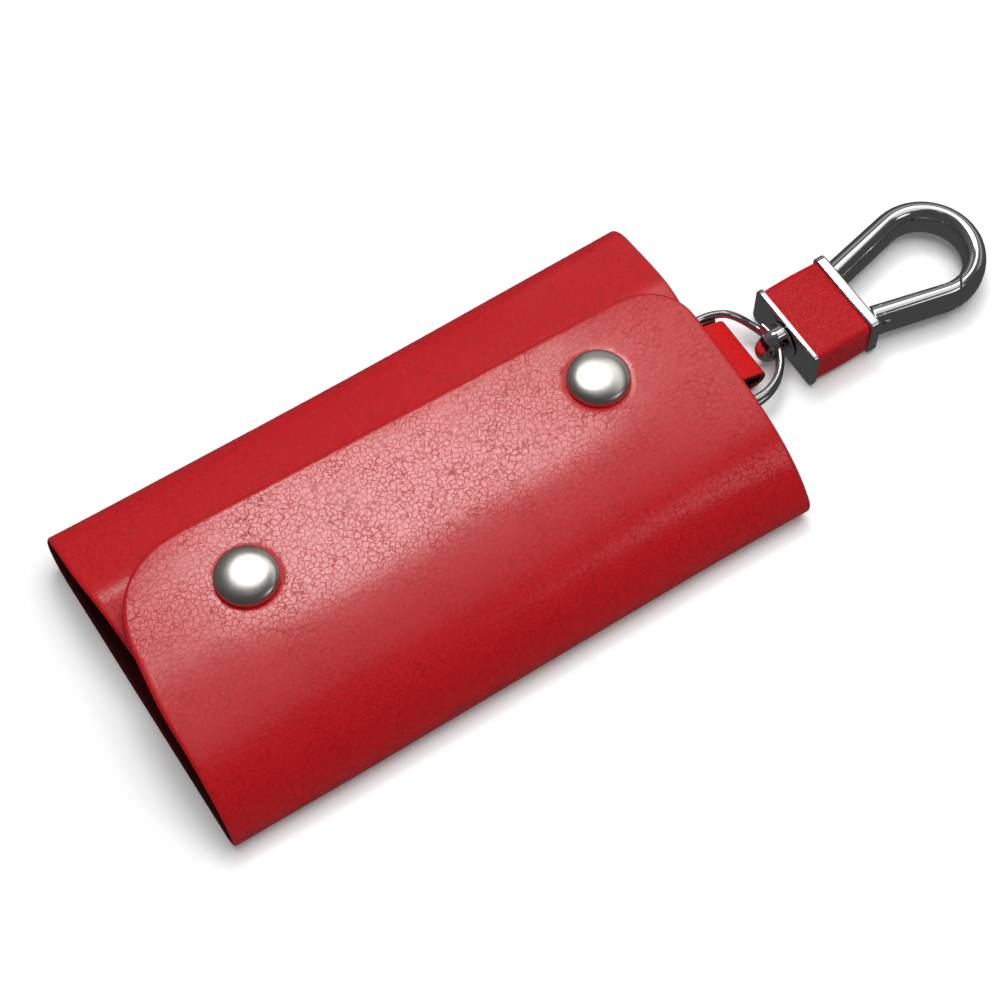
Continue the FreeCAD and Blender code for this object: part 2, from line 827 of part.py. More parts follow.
def make_swivel():
    """A stirrup round the split ring, on a collar and a shank that turns in the rear plate."""
    bow = doc.addObject("Part::Torus", "stirrup_bow")
    tie(bow, "Radius1", eye_radius)
    tie(bow, "Radius2", "eye_wire")
    bow.Angle3 = 180
    stand = FreeCAD.Rotation(FreeCAD.Vector(0, 0, 1), FreeCAD.Vector(-1, 0, 0), FreeCAD.Vector(0, -1, 0))
    place(bow, (eye_x, "belt_y", ring_z), stand)
    pieces = [bow]
    for side, sign in (("top", "+"), ("bottom", "-")):
        leg_z = f"{ring_z} {sign} {eye_radius}"
        pieces.append(rod(f"stirrup_leg_{side}", (eye_x, "belt_y", leg_z), "eye_wire",
                          "eye_room + collar_thick / 2", ALONG_X))
    pieces.append(rod("collar", (collar_x, "belt_y", ring_z), "collar_radius", "collar_thick", ALONG_X))
    neck = f"{band_x} + swivel_play - {collar_x}"
    pieces.append(rod("shank", (collar_x, "belt_y", ring_z), "swivel_shank", neck, ALONG_X))
    pieces.append(rod("shank_head", (f"{band_x} + swivel_play", "belt_y", ring_z), "swivel_head",
                      "swivel_head_thick", ALONG_X))
    keep("swivel_eye", joined("swivel_all", pieces))


make_swivel()


# Belt hook

def rounded_block(name, start, length, width, height, corner, hollow=None, bore=None):
    """A block along X with rounded long edges, centred on the hook's axis, hollowed or bored through."""
    body = new_body(name)
    sketch = sketch_on(body, "YZ_Plane", name + "_section")
    outline(sketch, rounded_rectangle(width, height, corner))
    if hollow:
        outline(sketch, rounded_rectangle(*hollow))
    if bore:
        circle(sketch, ("0", "0"), bore)
    pad(body, sketch, length)
    return place(body, (start, "belt_y", ring_z))


def rounded_rectangle(width, height, corner):
    side = f"({width}) / 2"
    top = f"({height}) / 2"
    inner_side = f"{side} - ({corner})"
    inner_top = f"{top} - ({corner})"
    return [
        (f"-({inner_side})", f"-{top}"),
        (inner_side, f"-{top}", corner, 1),
        (side, f"-({inner_top})"),
        (side, inner_top, corner, 1),
        (inner_side, top),
        (f"-({inner_side})", top, corner, 1),
        (f"-{side}", inner_top),
        (f"-{side}", f"-({inner_top})", corner, 1),
    ]


band_width = "(plate_width - 2 * band_inset)"
band_height = "(plate_height - 2 * band_inset)"
core_width = f"({band_width} - 2 * band_leather)"
core_height = f"({band_height} - 2 * band_leather)"
core_corner = "(plate_corner / 2)"
pivot_x = f"({front_face} + pivot_clear + gate_heel)"
leg_y = "(bow_radius * cos(bow_lean))"
bow_x = f"({front_face} + bow_reach)"
tangent_x = f"({bow_x} - bow_radius * sin(bow_lean))"
pivot_drop = f"({leg_y} - ({tangent_x} - {pivot_x}) * tan(bow_lean))"
pivot_y = f"(belt_y - {pivot_drop})"


def bow_arm(name, side, sweep, reach):
    """The bar of the bow: an arc about the bow's centre and a straight leg; side 1 is the fixed arm."""
    body = new_body(name)
    sketch = sketch_on(body, "XZ_Plane", name + "_section")
    near = "bow_radius - bar_width / 2"
    far = "bow_radius + bar_width / 2"
    rise = "(bar_tall - bar_width) / 2"
    outline(sketch, [
        (near, f"-{rise}", "bar_width / 2", 1),
        ("bow_radius", "-bar_tall / 2", "bar_width / 2", 1),
        (far, f"-{rise}"),
        (far, rise, "bar_width / 2", 1),
        ("bow_radius", "bar_tall / 2", "bar_width / 2", 1),
        (near, rise),
    ])
    turn = body.newObject("PartDesign::Revolution", name + "_arc")
    turn.Profile = sketch
    turn.ReferenceAxis = (sketch, ["V_Axis"])
    tie(turn, "Angle", sweep)
    turn.Reversed = side > 0
    pad(body, sketch, reach, reverse=side > 0)
    lean = 90 + number("bow_lean")
    return place(body, (bow_x, "belt_y", ring_z), FreeCAD.Rotation(FreeCAD.Vector(0, 0, 1), side * lean))


def tip_cutter(name, side):
    """A block whose face lies on the slanting split at the gate's tip; side 1 clears the bow's end."""
    outer = number("bow_radius + bar_width / 2")
    inner = number("bow_radius - bar_width / 2")
    centre = FreeCAD.Vector(number(bow_x), number("belt_y"), number(ring_z))
    ends = []
    for radius, angle in ((outer, "tip_outer"), (inner, "tip_inner")):
        turn = math.radians(-number(angle))
        ends.append(centre + FreeCAD.Vector(radius * math.cos(turn), radius * math.sin(turn), 0))
    along = (ends[1] - ends[0]).normalize()
    away = FreeCAD.Vector(along.y, -along.x, 0) * -side
    reach = "1.5 * bar_width"
    cutter = doc.addObject("Part::Box", name)
    tie(cutter, "Length", f"2 * {reach}")
    tie(cutter, "Width", reach)
    tie(cutter, "Height", "2 * bar_tall")
    middle = (ends[0] + ends[1]) * 0.5 - away * number("tip_gap / 2")
    up = FreeCAD.Vector(0, 0, side)
    corner = middle - along * number(reach) - up * number("bar_tall")
    cutter.Placement = FreeCAD.Placement(corner, FreeCAD.Rotation(along, away, up))
    return cutter


def make_hook_body():
    """The front plate with its core, the fixed arm of the bow and the two lugs that hold the gate's pin."""
    arm = bow_arm("bow_fixed", 1, "90 + bow_lean + tip_outer + tip_spare",
                  f"({tangent_x} - {front_face} + plate_thick / 2) / cos(bow_lean)")
    bow = cut("bow_trimmed", arm, tip_cutter("bow_tip_cutter", 1))
    pieces = [
        bow,
        rounded_block("front_plate", front_x, "plate_thick", "plate_width", "plate_height", "plate_corner"),
        rounded_block("core", band_x, "band_length", f"{core_width} - 2 * core_fit",
                      f"{core_height} - 2 * core_fit", core_corner),
    ]
    for name, level in (("lower", "-lug_gap / 2 - lug_thick"), ("upper", "lug_gap / 2")):
        z = f"{ring_z} + {level}"
        radius = "gate_pin_radius + gate_fit + lug_thick"
        pieces.append(rod(f"lug_eye_{name}", (pivot_x, pivot_y, z), radius, "lug_thick"))
        root = f"({front_face} - plate_thick / 2)"
        pieces.append(box(f"lug_arm_{name}", (root, f"{pivot_y} - ({radius})", z),
                          (f"{pivot_x} - {root}", f"2 * ({radius})", "lug_thick")))
    solid = joined("hook_solid", pieces)
    holes = [
        rod("head_room", (f"{band_x} - plate_thick", "belt_y", ring_z), "swivel_head + swivel_play",
            "plate_thick + swivel_play * 2 + swivel_head_thick", ALONG_X),
        rod("lug_bore", (pivot_x, pivot_y, f"{ring_z} - plate_height"), "gate_pin_radius",
            "2 * plate_height"),
    ]
    tools = joined("hook_holes", holes)
    keep("hook_body", cut("hook_bored", solid, tools))


def make_gate():
    """The gate: the lower arm of the bow, slotted at its heel for the lugs and bored for the pin."""
    arm = bow_arm("bow_gate", -1, "90 + bow_lean - tip_inner + tip_spare",
                  f"({tangent_x} - {pivot_x}) / cos(bow_lean) + gate_heel")
    trimmed = cut("gate_trimmed", arm, tip_cutter("gate_tip_cutter", -1))
    slot_height = "(lug_gap + 2 * lug_thick + 2 * lug_play)"
    slot = rod("gate_slot", (pivot_x, pivot_y, f"{ring_z} - {slot_height} / 2"), "gate_heel + bar_width / 2",
               slot_height)
    bore = rod("gate_bore", (pivot_x, pivot_y, f"{ring_z} - bar_tall"), "gate_pin_radius + gate_fit",
               "2 * bar_tall")
    keep("gate", cut("gate_all", trimmed, joined("gate_cuts", [slot, bore])))
    keep("gate_pin", rod("gate_pin_rod", (pivot_x, pivot_y, f"{ring_z} - bar_tall / 2 + pin_sunk"),
                         "gate_pin_radius", "bar_tall - 2 * pin_sunk"))


def make_gate_spring():
    """A small torsion coil round the gate's pin, between the lugs."""
    pitch = number("spring_pitch")
    turns = number("spring_turns")
    stations = [QUARTER_TURN * step for step in range(int(turns * 360 / QUARTER_TURN) + 1)]
    edges = turn_path(number("spring_radius"), stations, lambda angle: pitch * (angle / 360 - turns / 2))
    spring = wire_solid("gate_spring", edges, number("spring_wire"))
    keep("gate_spring", place(spring, (pivot_x, pivot_y, ring_z)))


keep("end_cap", rounded_block("rear_plate", block_x, "plate_thick", "plate_width", "plate_height",
                              "plate_corner", bore="swivel_shank + swivel_fit"))
keep("leather_band", rounded_block("band", band_x, "band_length", band_width, band_height, "plate_corner",
                                   hollow=(core_width, core_height, core_corner)))
make_hook_body()
make_gate()
make_gate_spring()


# Check and write

doc.recompute()
for item in doc.Objects:
    if "Invalid" in item.State or "Error" in item.State:
        raise RuntimeError(f"{item.Name} failed: {item.State}")
for label, item in nodes.items():
    if item.Shape.isNull() or not item.Shape.isValid() or not item.Shape.Solids:
        raise RuntimeError(f"{label} has no valid solid")

os.makedirs("parts", exist_ok=True)
for label, item in nodes.items():
    item.Shape.exportStep(f"parts/{label}.step")
    print(f"{label}: {len(item.Shape.Solids)} solids, {item.Shape.Volume:.1f} mm3")
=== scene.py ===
# %% [markdown]
# # A red leather key case with a spring hook
# The case is one sheet of cowhide, bent twice: a front panel folds over the keys, and a flap
# folds over the panel and is held by two snaps. A leather tab, a split ring and a swivel join it
# to a chromed spring hook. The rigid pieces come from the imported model, which is loaded first and
# is never moved. This lesson dresses them: it bends the leather, turns and sweeps the bright
# metal, and gives every piece a finish made of shader nodes.

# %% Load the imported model
import json
import math

import bmesh
import bpy
import numpy as np
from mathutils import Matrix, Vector


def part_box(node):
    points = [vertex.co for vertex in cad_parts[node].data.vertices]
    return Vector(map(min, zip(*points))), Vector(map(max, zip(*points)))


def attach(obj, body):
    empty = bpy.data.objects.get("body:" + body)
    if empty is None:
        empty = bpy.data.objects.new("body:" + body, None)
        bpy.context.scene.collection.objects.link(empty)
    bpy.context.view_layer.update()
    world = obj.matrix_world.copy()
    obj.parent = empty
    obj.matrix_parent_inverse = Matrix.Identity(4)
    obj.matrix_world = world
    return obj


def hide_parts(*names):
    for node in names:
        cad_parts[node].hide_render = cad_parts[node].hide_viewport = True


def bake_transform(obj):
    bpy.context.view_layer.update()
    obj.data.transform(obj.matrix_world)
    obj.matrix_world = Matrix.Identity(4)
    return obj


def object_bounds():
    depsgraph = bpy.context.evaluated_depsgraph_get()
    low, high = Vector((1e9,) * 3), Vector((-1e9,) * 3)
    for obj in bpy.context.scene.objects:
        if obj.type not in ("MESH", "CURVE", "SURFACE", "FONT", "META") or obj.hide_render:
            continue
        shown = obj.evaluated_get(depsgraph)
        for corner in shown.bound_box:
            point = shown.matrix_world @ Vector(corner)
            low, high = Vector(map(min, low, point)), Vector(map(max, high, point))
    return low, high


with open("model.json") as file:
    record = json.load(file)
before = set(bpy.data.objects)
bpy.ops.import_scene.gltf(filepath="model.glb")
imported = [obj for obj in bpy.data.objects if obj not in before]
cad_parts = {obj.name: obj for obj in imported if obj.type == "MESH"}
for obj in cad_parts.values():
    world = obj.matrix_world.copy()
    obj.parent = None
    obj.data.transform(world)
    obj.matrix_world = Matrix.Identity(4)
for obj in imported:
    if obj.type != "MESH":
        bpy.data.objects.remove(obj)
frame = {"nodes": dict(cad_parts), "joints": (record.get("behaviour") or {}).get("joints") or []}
cad_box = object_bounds()
MM = 0.001
cad_size = [round(side / MM, 1) for side in cad_box[1] - cad_box[0]]
print("nodes:", len(frame["nodes"]), "size in mm:", cad_size)

# %% [markdown]
# ## Small helpers for meshes and shader nodes
# Blender can make a mesh from plain lists of points and faces, which is the shortest way to make
# a surface that follows a formula. Every piece below starts that way, so one helper makes the
# object, smooths its shading and hands out its materials. Shader nodes are added by hand in the
# editor; here short helpers add a node, set its values and link its sockets.

# %% Mesh helper
def new_piece(name, points, faces, materials, numbers=None):
    """A smooth-shaded mesh object; numbers gives each face's place in the list of materials."""
    mesh = bpy.data.meshes.new(name)
    mesh.from_pydata([tuple(point) for point in points], [], faces)
    for material in materials:
        mesh.materials.append(material)
    if numbers is not None:
        mesh.polygons.foreach_set("material_index", numbers)
    mesh.polygons.foreach_set("use_smooth", [True] * len(mesh.polygons))
    mesh.validate()
    piece = bpy.data.objects.new(name, mesh)
    bpy.context.scene.collection.objects.link(piece)
    print(name, "has", len(mesh.polygons), "faces")
    return piece


# %% Shader helpers
def add_node(tree, kind, settings=None, **values):
    """A shader node with its settings and the values of its unlinked inputs."""
    node = tree.nodes.new(kind)
    for name, value in (settings or {}).items():
        setattr(node, name, value)
    for name, value in values.items():
        node.inputs[name.replace("_", " ")].default_value = value
    return node


def new_group(name, inputs, outputs):
    """An empty shader node group with named sockets, and the nodes at its two ends."""
    tree = bpy.data.node_groups.new(name, "ShaderNodeTree")
    for label, value in inputs.items():
        socket = tree.interface.new_socket(label, in_out="INPUT", socket_type="NodeSocketFloat")
        socket.default_value = value
    for label in outputs:
        tree.interface.new_socket(label, in_out="OUTPUT", socket_type="NodeSocketFloat")
    return tree, tree.nodes.new("NodeGroupInput"), tree.nodes.new("NodeGroupOutput")


def math_node(tree, operation, *values, clamp=False):
    """One sum on sockets or plain numbers; gives back the socket of the result."""
    node = add_node(tree, "ShaderNodeMath", {"operation": operation, "use_clamp": clamp})
    for socket, value in zip(node.inputs, values):
        if isinstance(value, bpy.types.NodeSocket):
            tree.links.new(value, socket)
        else:
            socket.default_value = value
    return node.outputs[0]


def mix_colours(tree, share, first, second):
    """A colour between two others; share is a socket."""
    node = add_node(tree, "ShaderNodeMix", {"data_type": "RGBA"})
    tree.links.new(share, node.inputs["Factor"])
    for label, colour in (("A", first), ("B", second)):
        socket = [s for s in node.inputs if s.name == label and s.type == "RGBA"][0]
        if isinstance(colour, bpy.types.NodeSocket):
            tree.links.new(colour, socket)
        else:
            socket.default_value = (*colour, 1)
    return [s for s in node.outputs if s.type == "RGBA"][0]


def new_material(name):
    """A material with its node tree and its Principled shader."""
    material = bpy.data.materials.new(name)
    material.use_nodes = True
    return material, material.node_tree, material.node_tree.nodes["Principled BSDF"]


def add_bump(tree, shader, height, depth):
    """Raises the surface by a height socket; depth is what a height of 1 measures in metres."""
    bump = add_node(tree, "ShaderNodeBump", Strength=1.0, Distance=depth)
    tree.links.new(height, bump.inputs["Height"])
    tree.links.new(bump.outputs[0], shader.inputs["Normal"])


print("materials that came with the packed model:", len(bpy.data.materials))

# %% [markdown]
# ## Grain, the effect that all the leather shares
# Cowhide has pebbles about a millimetre wide, with creases between them that run together and
# fade in places; the finishes paint the creases darker, as painted shade. A Voronoi texture gives
# cells and the distance to their edges, and noise bends the cells so that they look grown. The
# effect is a node group, because the case, the tab, the band round the hook and the bare inner side
# use it at different scales. Its last output says where wax lies: on the pebbles, and not in the
# creases.

# %% Creases and noise
SMOOTH = {"interpolation_type": "SMOOTHSTEP"}


def creases(tree, place, scale, width):
    """How deep in a crease each point lies, from 0 on a pebble to 1 between two of them."""
    cells = add_node(tree, "ShaderNodeTexVoronoi", {"feature": "DISTANCE_TO_EDGE"})
    tree.links.new(place, cells.inputs["Vector"])
    tree.links.new(scale, cells.inputs["Scale"])
    slope = add_node(tree, "ShaderNodeMapRange", SMOOTH, To_Min=1.0, To_Max=0.0)
    tree.links.new(cells.outputs["Distance"], slope.inputs["Value"])
    tree.links.new(width, slope.inputs["From Max"])
    return slope.outputs["Result"]


def noise(tree, place, scale, detail=2.0, roughness=0.5):
    """A noise texture read at a place."""
    texture = add_node(tree, "ShaderNodeTexNoise", Scale=scale, Detail=detail, Roughness=roughness)
    tree.links.new(place, texture.inputs["Vector"])
    return texture.outputs


# %% Leather grain group
GROWTH_SCALE = 900.0
GROWTH_SHIFT = 1.3 * MM
SMALL_CELLS = 2.1
SMALL_DEPTH = 0.35
PATCH_SCALE = 130.0
PATCH_GAIN = 1.2
PATCH_LEAST = 0.25
PORE_SCALE = 2600.0
PORE_HEIGHT = 0.08
CLOUD_SCALE = 38.0


def make_grain_group():
    """Pebbles of two sizes with creases between them, fine pores and clouds in the dye."""
    inputs = {"Cells per metre": 1200.0, "Crease width": 0.2}
    tree, start, end = new_group("leather_grain", inputs, ("Height", "Crease", "Tone", "Wax"))
    link = tree.links.new
    place = add_node(tree, "ShaderNodeTexCoord").outputs["Object"]
    shift = add_node(tree, "ShaderNodeVectorMath", {"operation": "MULTIPLY_ADD"})
    link(noise(tree, place, GROWTH_SCALE, detail=3.0)["Color"], shift.inputs[0])
    shift.inputs[1].default_value = [GROWTH_SHIFT] * 3
    link(place, shift.inputs[2])
    grown = shift.outputs[0]
    cells, width = start.outputs["Cells per metre"], start.outputs["Crease width"]
    wide = creases(tree, grown, cells, width)
    small = creases(tree, grown, math_node(tree, "MULTIPLY", cells, SMALL_CELLS), width)
    patches = noise(tree, place, PATCH_SCALE, detail=3.0)["Fac"]
    strong = math_node(tree, "MULTIPLY_ADD", patches, PATCH_GAIN, PATCH_LEAST, clamp=True)
    deep = math_node(tree, "MULTIPLY", wide, strong)
    both = math_node(tree, "MAXIMUM", deep, math_node(tree, "MULTIPLY", small, SMALL_DEPTH))
    pores = math_node(tree, "MULTIPLY", noise(tree, place, PORE_SCALE)["Fac"], PORE_HEIGHT)
    link(math_node(tree, "SUBTRACT", pores, both), end.inputs["Height"])
    link(deep, end.inputs["Crease"])
    link(noise(tree, place, CLOUD_SCALE, detail=4.0, roughness=0.6)["Fac"], end.inputs["Tone"])
    link(math_node(tree, "SUBTRACT", 1.0, both, clamp=True), end.inputs["Wax"])
    return tree


grain_group = make_grain_group()
print("leather grain has", len(grain_group.nodes), "nodes")

# %% [markdown]
# ## Handling marks, the effect that all the metal shares
# Plated metal is never quite even: polishing leaves fine hairlines, and fingers leave a faint
# haze. A picture of scratches would have to be unwrapped onto every piece. Two noises, one of them
# stretched along the piece, need no unwrapping: they give a haze that raises the roughness here and
# there and a very low height for the hairlines.

# %% Handling marks group
HAIRLINE_STRETCH = (1.0, 22.0, 9.0)
HAIRLINE_SCALE = 700.0


def make_marks_group():
    """A cloudy haze left by fingers and the fine hairlines left by polishing."""
    tree, start, end = new_group("handling_marks", {"Marks per metre": 260.0}, ("Haze", "Hairlines"))
    link = tree.links.new
    place = add_node(tree, "ShaderNodeTexCoord").outputs["Object"]
    haze = add_node(tree, "ShaderNodeTexNoise", Detail=4.0, Roughness=0.65)
    link(place, haze.inputs["Vector"])
    link(start.outputs["Marks per metre"], haze.inputs["Scale"])
    link(haze.outputs["Fac"], end.inputs["Haze"])
    drawn = add_node(tree, "ShaderNodeMapping", Scale=HAIRLINE_STRETCH)
    link(place, drawn.inputs["Vector"])
    link(noise(tree, drawn.outputs[0], HAIRLINE_SCALE, detail=3.0)["Fac"], end.inputs["Hairlines"])
    return tree


marks_group = make_marks_group()
print("handling marks has", len(marks_group.nodes), "nodes")

# %% [markdown]
# ## The leather finishes
# The outside is dyed through and waxed. A rough grain would spread the shine thin, so the wax is
# a smooth coat over it, cut out at the creases, and that coat gives the broad pale sheen. The
# creases are painted a darker red, as painted shade. The inside is the napped flesh side, which is
# duller and darker, and is painted darker still as shade inside the open ends. The cut edge is
# painted, nearly black as painted shade where the open ends face away from the light, and red on
# the flap's free edge. One function makes all of them, so the finishes differ only in their values.

# %% Leather materials
LEATHER_GLOSS = 0.2
WAX_ROUGHNESS = 0.2
DYE_SPREAD = 0.12
CREASE_DULLS = 0.2
CLOUD_DULLS = 0.1
RED = (0.51, 0.0060, 0.0110)
# Painted shade: the creases are given this darker red.
CREASE_SHADE_RED = (0.37, 0.004, 0.0065)


def leather_finish(name, colour, crease_shade_colour, roughness, depth, cells=1000.0, width=0.12, waxed=False):
    """Dyed leather; depth is the height of the grain in metres."""
    material, tree, shader = new_material(name)
    sizes = {"Cells_per_metre": cells, "Crease_width": width}
    grain = add_node(tree, "ShaderNodeGroup", {"node_tree": grain_group}, **sizes).outputs
    darker = [channel * (1 - DYE_SPREAD) for channel in colour]
    lighter = [channel * (1 + DYE_SPREAD) for channel in colour]
    dyed = mix_colours(tree, grain["Tone"], darker, lighter)
    # Painted shade: the colour darkens towards the crease shade colour in the creases.
    crease_shaded = mix_colours(tree, grain["Crease"], dyed, crease_shade_colour)
    tree.links.new(crease_shaded, shader.inputs["Base Color"])
    dulled = math_node(tree, "MULTIPLY_ADD", grain["Crease"], CREASE_DULLS, roughness)
    uneven = math_node(tree, "MULTIPLY_ADD", grain["Tone"], CLOUD_DULLS, dulled)
    tree.links.new(uneven, shader.inputs["Roughness"])
    add_bump(tree, shader, grain["Height"], depth)
    shader.inputs["Specular IOR Level"].default_value = LEATHER_GLOSS
    if waxed:
        tree.links.new(grain["Wax"], shader.inputs["Coat Weight"])
        shader.inputs["Coat Roughness"].default_value = WAX_ROUGHNESS
    return material


case_leather = leather_finish(
    "case_leather", RED, CREASE_SHADE_RED, roughness=0.16, depth=0.022 * MM, waxed=True)
# Painted shade: the flesh side's own dull dark red is darkened further, for the shade inside the case's
# open ends.
flesh_side_and_shade = leather_finish(
    "flesh_side_and_shade", (0.075, 0.006, 0.007), (0.03, 0.003, 0.003), roughness=0.8, depth=0.1 * MM, cells=2600.0)
# Painted shade: the case's cut edge is painted nearly black, for the shade where the open ends face away
# from the light.
shaded_cut_edge = leather_finish(
    "shaded_cut_edge", (0.07, 0.004, 0.005), (0.03, 0.002, 0.002), roughness=0.5, depth=0.03 * MM, cells=3400.0)
flap_edge = leather_finish(
    "flap_edge", (0.30, 0.005, 0.006), (0.18, 0.003, 0.004), roughness=0.5, depth=0.03 * MM, cells=3400.0)
strap_leather = leather_finish(
    "strap_leather", (0.62, 0.006, 0.008), (0.5, 0.005, 0.006), roughness=0.5, depth=0.01 * MM)
fibre_edge = leather_finish(
    "fibre_edge", (0.36, 0.05, 0.045), (0.10, 0.015, 0.012),
    roughness=0.85, depth=0.2 * MM, cells=3000.0, width=0.3)
band_leather = leather_finish(
    "band_leather", RED, CREASE_SHADE_RED, roughness=0.26, depth=0.05 * MM, cells=1350.0, width=0.14)
print("leather finishes:", [m.name for m in bpy.data.materials if "leather" in m.name or "edge" in m.name])

# %% [markdown]
# ## The metal finishes
# Three platings show: mirror chrome on the hook and swivel, bright nickel on the ring and the
# rack, and satin nickel on the snap caps. Metal takes its colour from what it reflects, so only
# the roughness and a warm or cold tint tell them apart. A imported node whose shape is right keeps
# its mesh and only gets a finish.

# %% Metal materials
HAZE_DIMS = 0.9


def metal_finish(name, colour, roughness, haze, hairlines):
    """Plated metal; haze is how far the roughness wanders, hairlines their height in metres."""
    material, tree, shader = new_material(name)
    shader.inputs["Metallic"].default_value = 1.0
    marks = add_node(tree, "ShaderNodeGroup", {"node_tree": marks_group}).outputs
    dull = [channel * HAZE_DIMS for channel in colour]
    tree.links.new(mix_colours(tree, marks["Haze"], colour, dull), shader.inputs["Base Color"])
    uneven = math_node(tree, "MULTIPLY_ADD", marks["Haze"], haze, roughness)
    tree.links.new(uneven, shader.inputs["Roughness"])
    add_bump(tree, shader, marks["Hairlines"], hairlines)
    return material


hook_chrome = metal_finish(
    "hook_chrome", (0.86, 0.86, 0.88), roughness=0.07, haze=0.07, hairlines=0.0006 * MM)
ring_steel = metal_finish(
    "ring_steel", (0.84, 0.84, 0.86), roughness=0.08, haze=0.08, hairlines=0.001 * MM)
rack_steel = metal_finish(
    "rack_steel", (0.80, 0.79, 0.77), roughness=0.16, haze=0.12, hairlines=0.002 * MM)
snap_nickel = metal_finish(
    "snap_nickel", (0.80, 0.77, 0.72), roughness=0.24, haze=0.10, hairlines=0.002 * MM)
spring_steel = metal_finish(
    "spring_steel", (0.62, 0.62, 0.63), roughness=0.22, haze=0.12, hairlines=0.002 * MM)
print("metal finishes:", [m.name for m in (hook_chrome, ring_steel, rack_steel, snap_nickel, spring_steel)])

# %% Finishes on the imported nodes
NODE_FINISH = {
    "snap_sockets": snap_nickel,
    "snap_studs": snap_nickel,
    "snap_posts": snap_nickel,
    "split_ring": ring_steel,
    "swivel_eye": hook_chrome,
    "hook_body": hook_chrome,
    "end_cap": hook_chrome,
    "leather_band": band_leather,
    "gate": hook_chrome,
    "gate_pin": hook_chrome,
    "gate_spring": spring_steel,
}
for name, node in frame["nodes"].items():
    node.data.materials.clear()
    node.data.materials.append(NODE_FINISH.get(name, rack_steel))
print("nodes with a finish:", len(frame["nodes"]))

# %% [markdown]
# ## The line that the leather follows
# Seen from its end, the case is a letter C that has rolled shut: flat at the back, a wide fold on
# the front panel's side and a tight one on the flap's side. Each side is a row of straight runs
# and arcs that touch without a kink. A table of distances along that line lets any point of the
# sheet be found from how far round the case it lies, as a maker measures on the flat hide.

# %% Runs and arcs
FINE = 0.1 * MM
SAME_POINT = FINE / 100


def run(first, last):
    """Points along a straight run in the plane of the section."""
    return np.linspace(first, last, 2 + int(math.dist(first, last) / FINE))


def arc(centre, radius, first, last):
    """Points along an arc, from one angle to another, in degrees."""
    turn = np.radians(np.linspace(first, last, 2 + int(abs(last - first))))
    return np.array(centre) + radius * np.column_stack((np.cos(turn), np.sin(turn)))


def rounded(corners, radii):
    """Points along straight runs between corners, each inner corner rounded by its radius."""
    stretches, at = [], np.array(corners[0], float)
    for before, here, after, radius in zip(corners, corners[1:], corners[2:], radii):
        here = np.array(here, float)
        come = (here - before) / np.linalg.norm(here - before)
        go = (after - here) / np.linalg.norm(after - here)
        turn = math.atan2(come[0] * go[1] - come[1] * go[0], come @ go)
        trim = radius * math.tan(abs(turn) / 2)
        side = np.array((-come[1], come[0])) * math.copysign(1, turn)
        centre = here - come * trim + side * radius
        first = math.degrees(math.atan2(-side[1], -side[0]))
        stretches += [run(at, here - come * trim), arc(centre, radius, first, first + math.degrees(turn))]
        at = here + go * trim
    return np.vstack((*stretches, run(at, np.array(corners[-1], float))))


class Line:
    """A line in a plane whose points are found by distance from its start."""

    def __init__(self, *stretches):
        points = np.vstack(stretches)
        steps = np.linalg.norm(np.diff(points, axis=0), axis=1)
        kept = np.concatenate(([True], steps > SAME_POINT))
        self.points = points[kept]
        steps = np.linalg.norm(np.diff(self.points, axis=0), axis=1)
        self.distance = np.concatenate(([0.0], np.cumsum(steps)))
        self.length = self.distance[-1]

    def at(self, distance):
        """The two coordinates at a distance, or at an array of distances."""
        first, second = self.points.T
        return np.interp(distance, self.distance, first), np.interp(distance, self.distance, second)

    def nearest(self, point):
        """How far along the line its closest point to the given one lies."""
        return self.distance[np.argmin(np.linalg.norm(self.points - np.array(point), axis=1))]


quarter_turn = Line(arc((0, 0), 10 * MM, 0, 90))
print("a quarter turn at 10 mm is", round(quarter_turn.length / MM, 2), "mm long")

# %% The flap's side of the section
LEATHER = 1.6 * MM
SEAM_Y = 10.0 * MM
FLAP_RADIUS = 3.8 * MM
SHOULDER_TURN = 56.0
BROW_TURN = 7.0
BROW_RADIUS = 95.0 * MM
LIP_START = 5.0 * MM
LIP_RADIUS = 300.0 * MM
LIP_TURN = 4.0
case_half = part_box("back_panel")[1].x
flap_low, flap_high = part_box("flap")
crown = flap_high.z
flap_centre = (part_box("flap_fold")[0].y + FLAP_RADIUS, FLAP_RADIUS)
fold_turn, brow_turn = math.radians(SHOULDER_TURN), math.radians(BROW_TURN)
brow_drop = BROW_RADIUS * (1 - math.cos(brow_turn))
shoulder_rise = crown - brow_drop - FLAP_RADIUS * (1 + math.cos(fold_turn))
shoulder = shoulder_rise / (math.cos(brow_turn) - math.cos(fold_turn))
shoulder_centre = (
    flap_centre[0] + (shoulder - FLAP_RADIUS) * math.sin(fold_turn),
    flap_centre[1] - (shoulder - FLAP_RADIUS) * math.cos(fold_turn),
)
brow_y = shoulder_centre[0] + (BROW_RADIUS - shoulder) * math.sin(brow_turn)
flap_line = Line(
    run((SEAM_Y, 0), (flap_centre[0], 0)),
    arc(flap_centre, FLAP_RADIUS, 270, 90 + SHOULDER_TURN),
    arc(shoulder_centre, shoulder, 90 + SHOULDER_TURN, 90 + BROW_TURN),
    arc((brow_y, crown - BROW_RADIUS), BROW_RADIUS, 90 + BROW_TURN, 90),
    run((brow_y, crown), (LIP_START, crown)),
    arc((LIP_START, crown - LIP_RADIUS), LIP_RADIUS, 90, 90 - LIP_TURN),
)
print("shoulder radius", round(shoulder / MM, 1), "mm, brow ends at y", round(brow_y / MM, 1), "mm")
print("the flap's side is", round(flap_line.length / MM, 1), "mm long")

